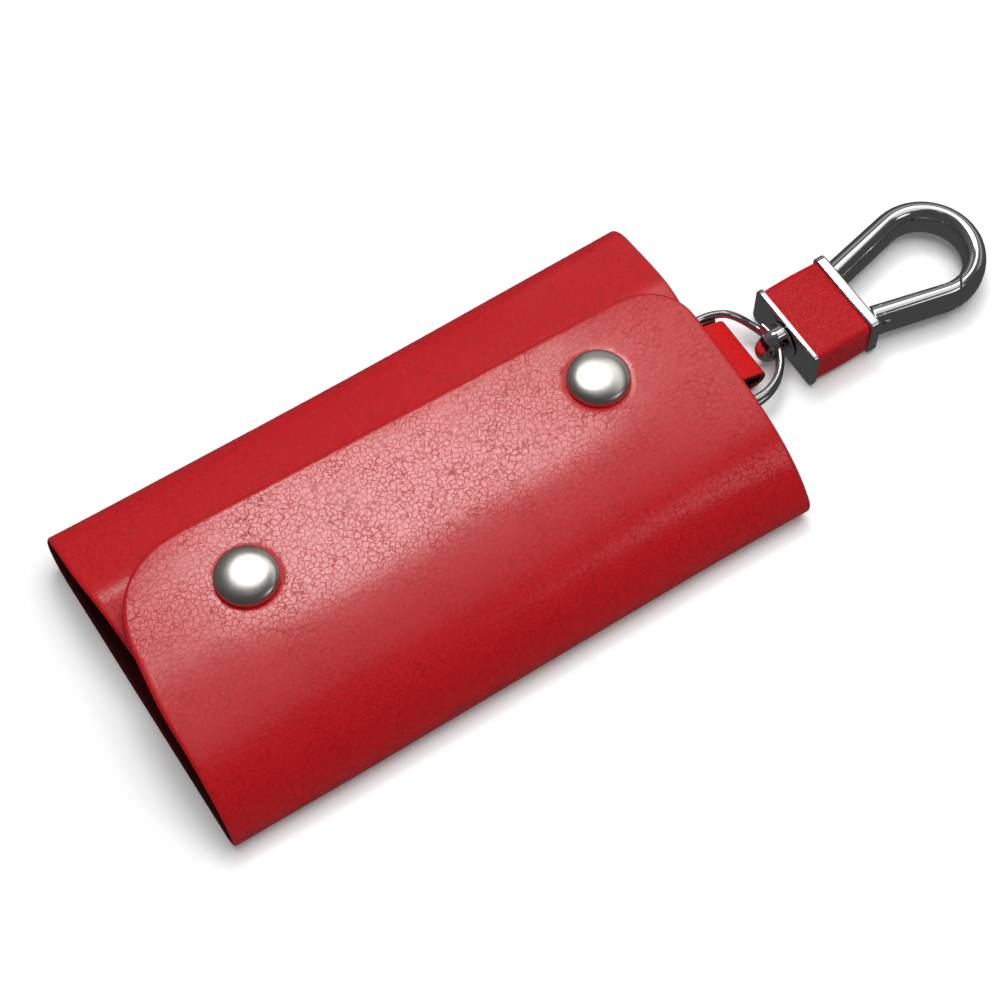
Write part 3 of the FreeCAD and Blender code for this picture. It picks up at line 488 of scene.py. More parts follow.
# %% The front panel's side of the section
FRONT_SLOPE = math.radians(10.5)
CREST_Y = 13.0 * MM
CREST_RADIUS = 16.0 * MM
DIP_Y = 5.5 * MM
DIP_RADIUS = 9.0 * MM
front_low, front_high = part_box("front_panel")
fold_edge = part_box("front_fold")[1].y
front_radius = front_high.z / 2
front_centre = (fold_edge - front_radius, front_radius)
fold_top = (
    front_centre[0] + front_radius * math.sin(FRONT_SLOPE),
    front_centre[1] + front_radius * math.cos(FRONT_SLOPE),
)
crest = (CREST_Y, fold_top[1] + (fold_top[0] - CREST_Y) * math.tan(FRONT_SLOPE))
front_corners = [fold_top, crest, (DIP_Y, front_high.z), (front_low.y, front_high.z)]
front_line = Line(
    run((SEAM_Y, 0), (front_centre[0], 0)),
    arc(front_centre, front_radius, -90, 90 - math.degrees(FRONT_SLOPE)),
    rounded(front_corners, [CREST_RADIUS, DIP_RADIUS]),
)
print("the front panel's side is", round(front_line.length / MM, 1), "mm long")

# %% [markdown]
# ## How the leather has settled
# Used leather isn't a machined form. Both open ends sink a little, and the hook's end slants. The
# long folded edge draws in at its middle, the flap's fold bulges at the hook's end and draws in at
# the other, and the snaps pull a shallow dimple into the flap. The rivets' heads lie in seats in
# the back. Each of these is a smooth push that depends on where the point lies, so all the sheets
# get the same push and stay joined. Sculpting could do it too, but not so that two sheets agree.

# %% Where the caps and the rivets press
SEAT_DEPTH = 0.62 * MM
SEAT_RADIUS = 3.05 * MM
SEAT_SLOPE = 1.2 * MM
cap_low, cap_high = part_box("snap_caps")
cap_radius = (cap_high.y - cap_low.y) / 2
cap_y = (cap_high.y + cap_low.y) / 2
cap_places = [cap_low.x + cap_radius, cap_high.x - cap_radius]
bar_low, bar_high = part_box("bar_rivets")
tab_rivet_low, tab_rivet_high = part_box("tab_rivet")
rivet_x = bar_low.x + SEAT_RADIUS
rivet_places = [
    (rivet_x, bar_low.y + SEAT_RADIUS),
    (rivet_x, bar_high.y - SEAT_RADIUS),
    ((tab_rivet_low.x + tab_rivet_high.x) / 2, (tab_rivet_low.y + tab_rivet_high.y) / 2),
]
print("caps at x", [round(place / MM, 1) for place in cap_places], "mm, rivets:", len(rivet_places))

# %% The settling pushes
END_START = 34.0 * MM
RIGHT_DROP = 0.4 * MM
RIGHT_POWER = 1.5
LEFT_DROP = 0.3 * MM
DRAWN_IN = 0.7 * MM
DRAWN_FROM = 20.0 * MM
BULGE = 0.6 * MM
BULGE_BAND = (22.0 * MM, 33.0 * MM)
LEFT_BULGE = 0.6
PULL = 1.5 * MM
PULL_FROM = 20.0 * MM
PULL_BAND = (-12.0 * MM, 20.0 * MM)
DIMPLE = 0.14 * MM
DIMPLE_WIDTH = 0.6 * MM
DIMPLE_BAND = (0.85 * crown, 0.95 * crown)
WAVE = 0.08 * MM
WAVE_LONG = 21.0 * MM
WAVE_X = 9.0 * MM
WAVE_Y = 7.0 * MM
WAVE_STARTS = (1.3, 0.4)


def ramp(value, low, high):
    """A smooth step from 0 at low to 1 at high."""
    share = np.clip((value - low) / (high - low), 0, 1)
    return share * share * (3 - 2 * share)


def settled(x, y, z):
    """Points of the leather's outer face after handling."""
    right = np.clip((x - END_START) / (case_half - END_START), 0, None) ** RIGHT_POWER
    left = ramp(-x, END_START, case_half)
    lifted = z * (1 - (RIGHT_DROP * right + LEFT_DROP * left) / crown)
    draw = DRAWN_IN * (1 - (x / case_half) ** 2) * ramp(y, DRAWN_FROM, fold_edge)
    pull = PULL * ramp(x, PULL_FROM, case_half) * ramp(-y, *PULL_BAND)
    push = BULGE * (right - LEFT_BULGE * left) * ramp(-y, *BULGE_BAND) * ramp(z, 0, FLAP_RADIUS)
    small = np.sin(x / WAVE_X + WAVE_STARTS[0]) * np.sin(y / WAVE_Y + WAVE_STARTS[1])
    waves = WAVE * np.clip(z / crown, 0, 1) * (small + np.sin(x / WAVE_LONG))
    for place in cap_places:
        away = np.hypot(x - place, y - cap_y) - cap_radius
        lifted = lifted - DIMPLE * (1 - ramp(away, 0, DIMPLE_WIDTH)) * ramp(z, *DIMPLE_BAND)
    for place in rivet_places:
        away = np.hypot(x - place[0], y - place[1]) - SEAT_RADIUS
        lifted = lifted + SEAT_DEPTH * (1 - ramp(away, 0, SEAT_SLOPE)) * (z < SEAT_SLOPE)
    return np.stack((x - pull, y - draw - push, lifted + waves), axis=-1)


print("right end sinks", RIGHT_DROP / MM, "mm, left end", LEFT_DROP / MM, "mm")

# %% [markdown]
# ## Bending a sheet
# A sheet could be a plane with a Solidify and a Bevel modifier. Here it is made point by point,
# because two sheets have to meet exactly at a fold, with no rim there, while every other edge is a
# real cut edge with worn corners. The grid fills the outline from its four sides, so that rounded
# corners keep even squares, and the worn rim is added outside the grid.

# %% Grid inside four sides
def even(line, count):
    """Points at even steps along a polyline of flat coordinates."""
    steps = np.linalg.norm(np.diff(line, axis=0), axis=1)
    along = np.concatenate(([0.0], np.cumsum(steps)))
    wanted = np.linspace(0, along[-1], count)
    return np.column_stack([np.interp(wanted, along, line[:, axis]) for axis in (0, 1)])


def fill(first, last, left, right, rows, columns):
    """A grid of flat coordinates between the first and last row and the left and right side."""
    low, high = even(first, columns), even(last, columns)
    near, far = even(left, rows), even(right, rows)
    u = np.linspace(0, 1, columns)[None, :, None]
    v = np.linspace(0, 1, rows)[:, None, None]
    sides = (1 - u) * near[:, None] + u * far[:, None]
    ends = (1 - v) * low[None] + v * high[None]
    corners = (1 - v) * ((1 - u) * low[0] + u * low[-1]) + v * ((1 - u) * high[0] + u * high[-1])
    return sides + ends - corners


def four_sides(place, inwards=0):
    """The numbers of the points along each side of a grid, or one row or more inwards."""
    return {
        "first": place[inwards], "right": place[:, -1 - inwards],
        "last": place[-1 - inwards], "left": place[:, inwards],
    }


# %% Worn rim of a sheet
PROBE = 0.02 * MM
RIM_STEPS = 5


def with_normals(flat, surface):
    """Points in space, and the directions that face out of the sheet there."""
    u, v = flat[..., 0], flat[..., 1]
    slope_u = surface(u + PROBE, v) - surface(u - PROBE, v)
    slope_v = surface(u, v + PROBE) - surface(u, v - PROBE)
    normals = np.cross(slope_u, slope_v)
    normals /= np.linalg.norm(normals, axis=-1, keepdims=True)
    return surface(u, v).reshape(-1, 3), normals.reshape(-1, 3)


def outward(points, normals, place, cut_sides):
    """The direction that leads out of the sheet, for the number of each point on a cut side."""
    out = {}
    for side in cut_sides:
        ids, inner = four_sides(place)[side], four_sides(place, 1)[side]
        across = np.cross(normals[ids], np.gradient(points[ids], axis=0))
        across *= np.sign(np.sum(across * (points[ids] - points[inner]), axis=1, keepdims=True))
        across /= np.linalg.norm(across, axis=1, keepdims=True)
        for number, direction in zip(ids, across):
            other = out.get(number)
            out[number] = direction if other is None else (direction + other) / (1 + direction @ other)
    return out


def worn_rim(points, under, normals, loop, out, worn):
    """Rows of points round the sheet's edge, from the upper face's corner to the lower one's."""
    turn = np.radians(np.linspace(0, 90, RIM_STEPS))[1:]
    drops = [(math.sin(a), 1 - math.cos(a)) for a in turn]
    rows = []
    for reach, drop in drops:
        rows.append([points[n] + worn * (reach * out.get(n, 0) - drop * normals[n]) for n in loop])
    for reach, drop in reversed(drops):
        rows.append([under[n] + worn * (reach * out.get(n, 0) + drop * normals[n]) for n in loop])
    return rows


print("a worn rim has", 2 * (RIM_STEPS - 1), "rows of points")

# %% Solid sheet
def bent_sheet(name, flat, surface, thickness, worn, cut_sides, materials):
    """A sheet from flat coordinates, which surface maps to space; cut_sides get a worn rim."""
    points, normals = with_normals(flat, surface)
    under = points - thickness * normals
    count = len(points)
    place = np.arange(count).reshape(flat.shape[:2])
    loop = np.concatenate((place[0, :-1], place[:-1, -1], place[-1, :0:-1], place[:0:-1, 0]))
    out = outward(points, normals, place, cut_sides)
    rim = worn_rim(points, under, normals, loop, out, worn)
    corners = (place[:-1, :-1], place[:-1, 1:], place[1:, 1:], place[1:, :-1])
    quads = np.stack(corners, axis=-1).reshape(-1, 4)
    faces = [*quads.tolist(), *(quads[:, ::-1] + count).tolist()]
    numbers = [0] * len(quads) + [1] * len(quads)
    rim_ids = [2 * count + len(loop) * row + np.arange(len(loop)) for row in range(len(rim))]
    rings = [loop, *rim_ids, loop + count]
    for row, (upper, lower) in enumerate(zip(rings, rings[1:])):
        strip = np.stack((upper, lower, np.roll(lower, -1), np.roll(upper, -1)), axis=-1)
        faces += strip.tolist()
        # The lower rows of the rim take the third finish; on the case sheets other than the flap, that is
        # the cut edge painted dark as shade.
        numbers += [0 if row < RIM_STEPS - 2 else 2] * len(strip)
    piece = new_piece(name, np.vstack((points, under, *rim)), faces, materials, numbers)
    joined = set()
    for side in set(four_sides(place)) - set(cut_sides):
        ids = four_sides(place)[side]
        joined |= {*ids.tolist(), *(ids + count).tolist()}
    piece.data.attributes.new("sharp_edge", "BOOLEAN", "EDGE")
    sharp = [joined.issuperset(edge.vertices) for edge in piece.data.edges]
    piece.data.attributes["sharp_edge"].data.foreach_set("value", sharp)
    return piece


# %% [markdown]
# ## The four sheets of the case
# The real case is one hide. Here it is four sheets that meet at the middle of each fold, because
# each fold opens as two hinges. The back shares a sheet with half of each fold. Near its seam a
# sheet is stretched to the case's full width, and eases to its own ends further along.

# %% Outlines on the flat hide
SQUARE = 0.6 * MM
WORN_EDGE = 0.65 * MM
FLAP_SEAM = math.radians(204.0)
FLAP_EASE = (26.0 * MM, 48.0 * MM)
FRONT_EASE = (12.0 * MM, 40.0 * MM)
# a metre away, where no sheet reaches
NO_EASE = (1.0, 2.0)
flap_seam = flap_line.nearest((
    flap_centre[0] + FLAP_RADIUS * math.cos(FLAP_SEAM),
    flap_centre[1] + FLAP_RADIUS * math.sin(FLAP_SEAM),
))
front_seam = front_line.nearest((fold_edge, front_radius))


def on_line(line, ends, seam, eased):
    """The surface that a section line sweeps along the case, with its ends eased to the sheet's own."""
    def surface(x, distance):
        ease = 1 - ramp(distance - seam, *eased)
        grown = np.where(x < 0, case_half / -ends[0], case_half / ends[1])
        y, z = line.at(distance)
        return settled(x * (1 + (grown - 1) * ease), y, z)
    return surface


def flipped(surface):
    """The same surface seen from its other side."""
    return lambda x, distance: surface(-x, distance)


def squares(length):
    """How many points make even squares along a length."""
    return 1 + int(length / SQUARE)


def plain_outline(left, right, first, last, worn, cut_sides):
    """A rectangle of flat coordinates, as a filled grid that leaves room for the worn rim."""
    left, right = left + worn, right - worn
    first = first + worn if "first" in cut_sides else first
    last = last - worn if "last" in cut_sides else last
    a, b, c, d = np.array([[left, first], [right, first], [right, last], [left, last]])
    sides = [np.array(ends) for ends in ((a, b), (d, c), (a, d), (b, c))]
    return fill(*sides, squares(last - first), squares(right - left))


print("flap's seam at", round(flap_seam / MM, 1), "mm, front's at", round(front_seam / MM, 1), "mm")

# %% The flap's outline
EDGE_INSET = 1.1 * MM
EDGE_SLANT = -2.4 * MM
CORNER_LEFT = 16.0 * MM
CORNER_RIGHT = 10.0 * MM
CORNER_SPLIT = 45.0
flap_ends = (flap_low.x, flap_high.x)
edge_left = flap_high.y - EDGE_INSET
edge_drop = LIP_RADIUS - math.sqrt(LIP_RADIUS ** 2 - (edge_left - LIP_START) ** 2)
edge_start = flap_line.nearest((edge_left, crown - edge_drop))


def flap_outline():
    """The flap: its seam, two straight ends and a slanted free edge with rounded corners."""
    left, right = flap_ends[0] + WORN_EDGE, flap_ends[1] - WORN_EDGE
    tilt = math.degrees(math.atan2(EDGE_SLANT, right - left))
    near_radius, far_radius = CORNER_LEFT - WORN_EDGE, CORNER_RIGHT - WORN_EDGE
    left_centre = (left + near_radius, edge_start - CORNER_LEFT)
    right_centre = (right - far_radius, edge_start + EDGE_SLANT - CORNER_RIGHT)
    seam = np.array([[left, flap_seam], [right, flap_seam]])
    left_side = np.vstack((seam[:1], arc(left_centre, near_radius, 180, 180 - CORNER_SPLIT)))
    right_side = np.vstack((seam[1:], arc(right_centre, far_radius, 0, CORNER_SPLIT)))
    free = np.vstack((
        arc(left_centre, near_radius, 180 - CORNER_SPLIT, 90 + tilt),
        arc(right_centre, far_radius, 90 + tilt, CORNER_SPLIT),
    ))
    return fill(seam, free, left_side, right_side, squares(edge_start - flap_seam), squares(right - left))


print("flap is", round((edge_start - flap_seam) / MM, 1), "mm from its fold to its free edge")

# %% Make the four sheets
FRONT_INSET = 1.8 * MM
ENDS = ["left", "right"]
FREE = [*ENDS, "last"]
whole = (-case_half, case_half)
front_ends = (FRONT_INSET - case_half, front_high.x)


def case_sheet(name, flat, line, ends, seam, eased, cut_sides, inside_out=False, edge=shaded_cut_edge):
    """One of the case's sheets; inside_out swaps the side that faces out."""
    surface = on_line(line, ends, seam, eased)
    if inside_out:
        flat = flat[:, ::-1] * np.array([-1, 1])
        surface = flipped(surface)
        swap = {"left": "right", "right": "left"}
        cut_sides = [swap.get(side, side) for side in cut_sides]
    return bent_sheet(name, flat, surface, LEATHER, WORN_EDGE, cut_sides, [case_leather, flesh_side_and_shade, edge])


flap_half = plain_outline(*whole, 0, flap_seam, WORN_EDGE, ENDS)
front_half = plain_outline(*whole, 0, front_seam, WORN_EDGE, ENDS)
panel = plain_outline(*front_ends, front_seam, front_line.length, WORN_EDGE, FREE)
back_to_flap = case_sheet("back_to_flap", flap_half, flap_line, whole, 0, NO_EASE, ENDS)
flap_cover = case_sheet(
    "flap_cover", flap_outline(), flap_line, flap_ends, flap_seam, FLAP_EASE, FREE, edge=flap_edge)
back_to_front = case_sheet(
    "back_to_front", front_half, front_line, whole, 0, NO_EASE, ENDS, inside_out=True)
front_cover = case_sheet(
    "front_cover", panel, front_line, front_ends, front_seam, FRONT_EASE, FREE, inside_out=True)

# %% Put the sheets in place of the imported nodes
FLAP_REACH = 1.6 * MM
FRONT_REACH = 2.5 * MM
joints = {joint["name"]: joint for joint in frame["joints"]}


def bend_with(piece, joint_name, line, reach, *nodes):
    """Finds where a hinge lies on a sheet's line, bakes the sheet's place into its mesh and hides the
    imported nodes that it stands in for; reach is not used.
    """
    joint = joints[joint_name]
    hinge = Vector(joint["pos_m"])
    here = line.nearest((hinge.y, hinge.z))
    before, after = (Vector((0, *line.at(here + side * FINE))) for side in (-1, 1))
    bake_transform(piece)
    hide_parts(*nodes)
    print(piece.name, "bends at", joint_name)


bend_with(back_to_flap, "flap_open", flap_line, FLAP_REACH, "back_panel", "flap_fold")
bend_with(flap_cover, "flap_lift", flap_line, FLAP_REACH, "flap")
bend_with(back_to_front, "front_turn", front_line, FRONT_REACH, "back_panel", "front_fold")
bend_with(front_cover, "front_lift", front_line, FRONT_REACH, "front_panel")

# %% [markdown]
# ## The snap caps
# A snap cap is a thin disc pressed into a dome, with its edge rolled under against the leather.
# It is a turned shape, so a short profile spun round an axis makes it. Blender's Spin tool or a
# Screw modifier would do the same; a loop over angles keeps the seam closed.

# %% Turned shapes
AROUND = 96


def ring_faces(rows, count):
    """The squares between rings of points that each have the same count."""
    faces = []
    for row in range(rows - 1):
        low, high = row * count, (row + 1) * count
        for k in range(count):
            after = (k + 1) % count
            faces.append((low + k, low + after, high + after, high + k))
    return faces


def skin(name, rings, material):
    """A closed skin over rings of points that each have the same count, with flat ends."""
    rows, count = len(rings), len(rings[0])
    first = tuple(range(count - 1, -1, -1))
    last = tuple(range((rows - 1) * count, rows * count))
    faces = [first, *ring_faces(rows, count), last]
    piece = new_piece(name, np.vstack(rings), faces, [material])
    for number in (0, len(faces) - 1):
        piece.data.polygons[number].use_smooth = False
    return piece


def turned(name, profile, centre, ways, material):
    """Spins a profile of (radius, height) pairs; ways are two directions across the axis and the axis."""
    turn = np.linspace(0, 2 * math.pi, AROUND, endpoint=False)[:, None]
    first, second, axis = (np.array(way, float) for way in ways)
    spokes = np.cos(turn) * first + np.sin(turn) * second
    rings = [np.array(centre) + radius * spokes + height * axis for radius, height in profile]
    return skin(name, rings, material)


def dress(piece, body, node):
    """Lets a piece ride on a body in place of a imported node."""
    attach(piece, body)
    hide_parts(node)


print("a turned shape has", AROUND, "points in each ring")

# %% Two domed caps
UPRIGHT = ((1, 0, 0), (0, 1, 0), (0, 0, 1))
ROLL = 0.55 * MM
ROLL_TURNS = (90, 75, 50, 25)
CAP_SINK = 0.35 * MM
CAP_DIP = 0.25 * MM
CAP_FULLNESS = 2.7
CAP_STEPS = 24
TIP = 0.05 * MM
cap_rise = cap_high.z - crown


def cap_profile():
    """The rolled edge and the dome, from below to the top, as radius and height above the leather."""
    profile = []
    for a in np.radians(ROLL_TURNS):
        radius = cap_radius - ROLL * (1 - math.cos(a))
        profile.append((radius, ROLL - (ROLL + CAP_SINK) * math.sin(a)))
    last = math.degrees(math.acos(TIP / cap_radius))
    power = 2 / CAP_FULLNESS
    for a in np.radians(90 - np.linspace(0, last, CAP_STEPS)):
        height = ROLL + (cap_rise - ROLL) * math.cos(a) ** power
        profile.append((cap_radius * math.sin(a) ** power, height))
    return profile


for side, place in zip(ENDS, cap_places):
    cap = turned(f"snap_cap_{side}", cap_profile(), (place, cap_y, crown - CAP_DIP), UPRIGHT, snap_nickel)
    dress(cap, "flap", "snap_caps")

# %% [markdown]
# ## The leather tab
# The tab is a strap folded back on itself. It is riveted to the back under the key rack, and its
# loop holds the split ring. A curve with a flat bevel would give the strap, but not its worn cut
# edges, so it is a bent sheet as well: its line goes along the back, round the end and down a ramp
# to the rivet, and the sheet's width runs across the case.

# %% The folded tab
TAB_LEATHER = 1.2 * MM
TAB_BEND = 2.2 * MM
TAB_SLOPE = math.radians(20.0)
TAB_RAMP = math.radians(48.5)
TAB_ROOF_END = 50.06 * MM
TAB_SOFT = 2.4 * MM
TAB_SPARE = 0.6 * MM
TAB_WORN = 0.2 * MM
ALL_SIDES = [*ENDS, "first", "last"]
tab_low, tab_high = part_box("hook_tab")
tab_middle = (tab_low.y + tab_high.y) / 2
tab_half = (tab_high.y - tab_low.y) / 2
foot_top = tab_low.z + 2 * TAB_LEATHER
nose_reach = TAB_BEND * (1 + math.cos(TAB_SLOPE)) / math.sin(TAB_SLOPE)
nose_x = tab_high.x + TAB_SPARE - TAB_BEND + nose_reach
roof_start = nose_x - (tab_high.z - tab_low.z) / math.tan(TAB_SLOPE)
ramp_end = TAB_ROOF_END - (tab_high.z - foot_top) / math.tan(TAB_RAMP)
tab_corners = [
    (tab_low.x, tab_low.z), (nose_x, tab_low.z), (roof_start, tab_high.z),
    (TAB_ROOF_END, tab_high.z), (ramp_end, foot_top), (tab_low.x, foot_top),
]
tab_line = Line(rounded(tab_corners, [TAB_BEND, TAB_SOFT, TAB_SOFT, TAB_SOFT / 2]))


def tab_surface(across, distance):
    """The strap's outer face, from how far across and how far along the strap a point lies."""
    x, z = tab_line.at(distance)
    return np.stack((x, tab_middle + across, z), axis=-1)


tab_flat = plain_outline(-tab_half, tab_half, 0, tab_line.length, TAB_WORN, ALL_SIDES)
tab_finishes = [strap_leather, flesh_side_and_shade, fibre_edge]
hook_tab = bent_sheet(
    "hook_tab_strap", tab_flat, tab_surface, TAB_LEATHER, TAB_WORN, ALL_SIDES, tab_finishes)
dress(hook_tab, "case_back", "hook_tab")
print("the strap is", round(tab_line.length / MM, 1), "mm long")

# %% [markdown]
# ## The hook's bow and gate
# The hook is a bar bent into a drop: one leg runs from the front plate round the bow, and the gate
# closes the gap between the bow's end and the plate. A curve with a bevel object could make such
# a bar, but its width couldn't change on the way. Here rings of points follow the bow's line, a
# little wider at the plate than at the far end, and a slanted cut parts the gate from the bow.

# %% Bars along a line
BAR_SIDES = 48
BAR_STEP = 0.6 * MM
SQUARENESS = 2.3
UP = (0.0, 0.0, 1.0)


def bar_ring(middle, across, width, height):
    """A rounded section of a bar that lies flat; across is the direction of its width."""
    turn = np.linspace(0, 2 * math.pi, BAR_SIDES, endpoint=False)
    wide = np.sign(np.cos(turn)) * np.abs(np.cos(turn)) ** (2 / SQUARENESS)
    tall = np.sign(np.sin(turn)) * np.abs(np.sin(turn)) ** (2 / SQUARENESS)
    return middle + width / 2 * wide[:, None] * across + height / 2 * tall[:, None] * np.array(UP)


def way_along(line, here):
    """The direction of a line at a distance from its start."""
    ahead = np.subtract(line.at(here + FINE), line.at(here - FINE))
    return ahead / np.linalg.norm(ahead)


def flat_bar(name, line, widths, height, level, material):
    """A bar along a line in the hook's plane, whose width goes from the first value to the second."""
    rings = []
    for share in np.linspace(0, 1, int(line.length / BAR_STEP)):
        here = share * line.length
        ahead = way_along(line, here)
        across = np.array((ahead[1], -ahead[0], 0))
        width = widths[0] + share * (widths[1] - widths[0])
        rings.append(bar_ring(np.array((*line.at(here), level)), across, width, height))
    return skin(name, rings, material)


print("a bar's section has", BAR_SIDES, "points, with a section every", round(BAR_STEP / MM, 1), "mm")

# %% Cuts and eased edges
EASED_FROM = math.radians(40.0)
EASED_STEPS = 3


def part_at(piece, point, direction, reach):
    """Cuts a piece with a plane near a point, keeps the side against the direction and closes the cut."""
    shape = bmesh.new()
    shape.from_mesh(piece.data)
    near = {vertex for vertex in shape.verts if (vertex.co - point).length < reach}
    edges = [edge for edge in shape.edges if near.issuperset(edge.verts)]
    faces = [face for face in shape.faces if near.issuperset(face.verts)]
    done = bmesh.ops.bisect_plane(
        shape, geom=[*near, *edges, *faces], plane_co=point, plane_no=direction, clear_outer=True)
    rim = [item for item in done["geom_cut"] if isinstance(item, bmesh.types.BMEdge)]
    for face in bmesh.ops.contextual_create(shape, geom=rim)["faces"]:
        face.smooth = False
    bmesh.ops.recalc_face_normals(shape, faces=shape.faces)
    shape.to_mesh(piece.data)
    shape.free()


def carve(piece, cutter):
    """Takes the cutter's volume out of a piece and removes the cutter."""
    tool = piece.modifiers.new("carve", "BOOLEAN")
    tool.object = cutter
    tool.solver = "EXACT"
    shaped = piece.evaluated_get(bpy.context.evaluated_depsgraph_get())
    piece.data = bpy.data.meshes.new_from_object(shaped)
    piece.modifiers.clear()
    bpy.data.objects.remove(cutter)


def ease_edges(piece, width):
    """Rounds the sharp edges of a piece."""
    bevel = piece.modifiers.new("eased_edges", "BEVEL")
    bevel.width = width
    bevel.segments = EASED_STEPS
    bevel.limit_method = "ANGLE"
    bevel.angle_limit = EASED_FROM
    bevel.harden_normals = True


print("edges that turn more than", round(math.degrees(EASED_FROM)), "degrees can be eased")

# %% The bow
BAR_WIDTH = 4.3 * MM
BAR_HEIGHT = 7.2 * MM
BOW_RADIUS = 9.45 * MM
BOW_LEAN = 13.0
BOW_EASE = 0.3 * MM
LEG_WIDTH = 5.0 * MM
LEG_ROOT = 0.5 * MM
FAR_WIDTH = 4.1 * MM
FRONT_PLATE = 1.4 * MM
SPLIT_OUTER = -94.0
SPLIT_INNER = -68.0
SPLIT_SPARE = 14.0
SPLIT_GAP = 0.45 * MM
SPLIT_REACH = 7.5 * MM
hook_low, hook_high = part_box("hook_body")
hook_y = (hook_low.y + hook_high.y) / 2
hook_z = (hook_low.z + hook_high.z) / 2
bow_centre = (hook_high.x - BOW_RADIUS - BAR_WIDTH / 2, hook_y)
plate_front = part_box("leather_band")[1].x + FRONT_PLATE
lean = math.radians(BOW_LEAN)


def bow_point(turn, radius=BOW_RADIUS):
    """A point at an angle and a distance from the bow's centre."""
    return (
        bow_centre[0] + radius * math.cos(math.radians(turn)),
        bow_centre[1] + radius * math.sin(math.radians(turn)),
    )


def leg_end(side, x):
    """A point of a straight leg, x along the hook; side is 1 for the fixed leg and -1 for the gate."""
    touch = bow_point(side * (90 + BOW_LEAN))
    return (x, touch[1] - side * (touch[0] - x) * math.tan(lean))


outer_split = bow_point(SPLIT_OUTER, BOW_RADIUS + BAR_WIDTH / 2)
inner_split = bow_point(SPLIT_INNER, BOW_RADIUS - BAR_WIDTH / 2)
split_middle = Vector((
    (outer_split[0] + inner_split[0]) / 2,
    (outer_split[1] + inner_split[1]) / 2,
    hook_z,
))
split_away = Vector((outer_split[1] - inner_split[1], inner_split[0] - outer_split[0], 0)).normalized()
bow_line = Line(
    run(leg_end(1, plate_front - LEG_ROOT), bow_point(90 + BOW_LEAN)),
    arc(bow_centre, BOW_RADIUS, 90 + BOW_LEAN, SPLIT_OUTER - SPLIT_SPARE),
)
hook_bow = flat_bar("hook_bow", bow_line, (LEG_WIDTH, FAR_WIDTH), BAR_HEIGHT, hook_z, hook_chrome)
part_at(hook_bow, split_middle - split_away * SPLIT_GAP / 2, split_away, SPLIT_REACH)
ease_edges(hook_bow, BOW_EASE)

# %% The gate
HEEL = 1.7 * MM
HEEL_WIDTH = 4.7 * MM
GATE_EASE = 0.25 * MM
SLOT_HEIGHT = 4.5 * MM
SLOT_RADIUS = 3.75 * MM
SLOT_INSIDE = 1.6 * MM
pivot = Vector(joints["gate_open"]["pos_m"])
gate_line = Line(
    arc(bow_centre, BOW_RADIUS, SPLIT_INNER + SPLIT_SPARE, -90 - BOW_LEAN),
    run(bow_point(-90 - BOW_LEAN), leg_end(-1, pivot.x - HEEL * math.cos(lean))),
)
gate_bar = flat_bar("gate_bar", gate_line, (FAR_WIDTH, HEEL_WIDTH), BAR_HEIGHT, hook_z, hook_chrome)
part_at(gate_bar, split_middle + split_away * SPLIT_GAP / 2, -split_away, SPLIT_REACH)
slot_profile = [(SLOT_RADIUS, -SLOT_HEIGHT / 2), (SLOT_RADIUS, SLOT_HEIGHT / 2)]
slot_centre = (pivot.x + SLOT_INSIDE * math.sin(lean), pivot.y + SLOT_INSIDE * math.cos(lean), hook_z)
carve(gate_bar, turned("gate_slot", slot_profile, slot_centre, UPRIGHT, hook_chrome))
ease_edges(gate_bar, GATE_EASE)
dress(gate_bar, "gate", "gate")

# %% [markdown]
# ## The hook's block
# A strip of leather wraps a metal block between two chromed plates, and two small lugs on the
# front plate carry the gate's pin. A cube with a Bevel modifier would do for the plates, but the
# leather has a soft, swollen face. So one function stacks rounded rectangles along the hook: a quick
# rise at each end rounds the edges, and a small swell between them gives the leather its face. The
# lugs are flat outlines, raised from one level to another.

# %% Rounded slabs
CORNER_STEPS = 8
EDGE_STEPS = 5
MIDDLE_STEPS = 15
CORNER_LOSS = 0.8
PLATE_CORNER = 1.2 * MM


def slab_ring(x, half_width, half_height, corner):
    """A rounded rectangle across the hook's length."""
    points = []
    for quarter, (side, rise) in enumerate(((1, 1), (-1, 1), (-1, -1), (1, -1))):
        y = hook_y + side * (half_width - corner)
        z = hook_z + rise * (half_height - corner)
        turn = np.radians(90 * quarter + np.linspace(0, 90, CORNER_STEPS + 1))
        points += [(x, y + corner * math.cos(a), z + corner * math.sin(a)) for a in turn]
    return np.array(points)


def slab(name, first, last, half_width, half_height, worn, material, swell=0.0):
    """A slab from one place along the hook to another, with worn edges and swollen sides."""
    turn = np.radians(np.linspace(0, 90, EDGE_STEPS))
    start = [(first + worn * (1 - math.cos(a)), worn * (1 - math.sin(a))) for a in turn]
    middle = [(x, 0.0) for x in np.linspace(first + worn, last - worn, MIDDLE_STEPS)[1:-1]]
    finish = [(first + last - x, inset) for x, inset in start[::-1]]
    rings = []
    for x, inset in start + middle + finish:
        share = 2 * (x - first) / (last - first) - 1
        grown = swell * (1 - share * share) - inset
        corner = PLATE_CORNER + max(grown, -CORNER_LOSS * PLATE_CORNER)
        rings.append(slab_ring(x, half_width + grown, half_height + grown, corner))
    return skin(name, rings, material)


print("a slab's outline has", 4 * (CORNER_STEPS + 1), "points")

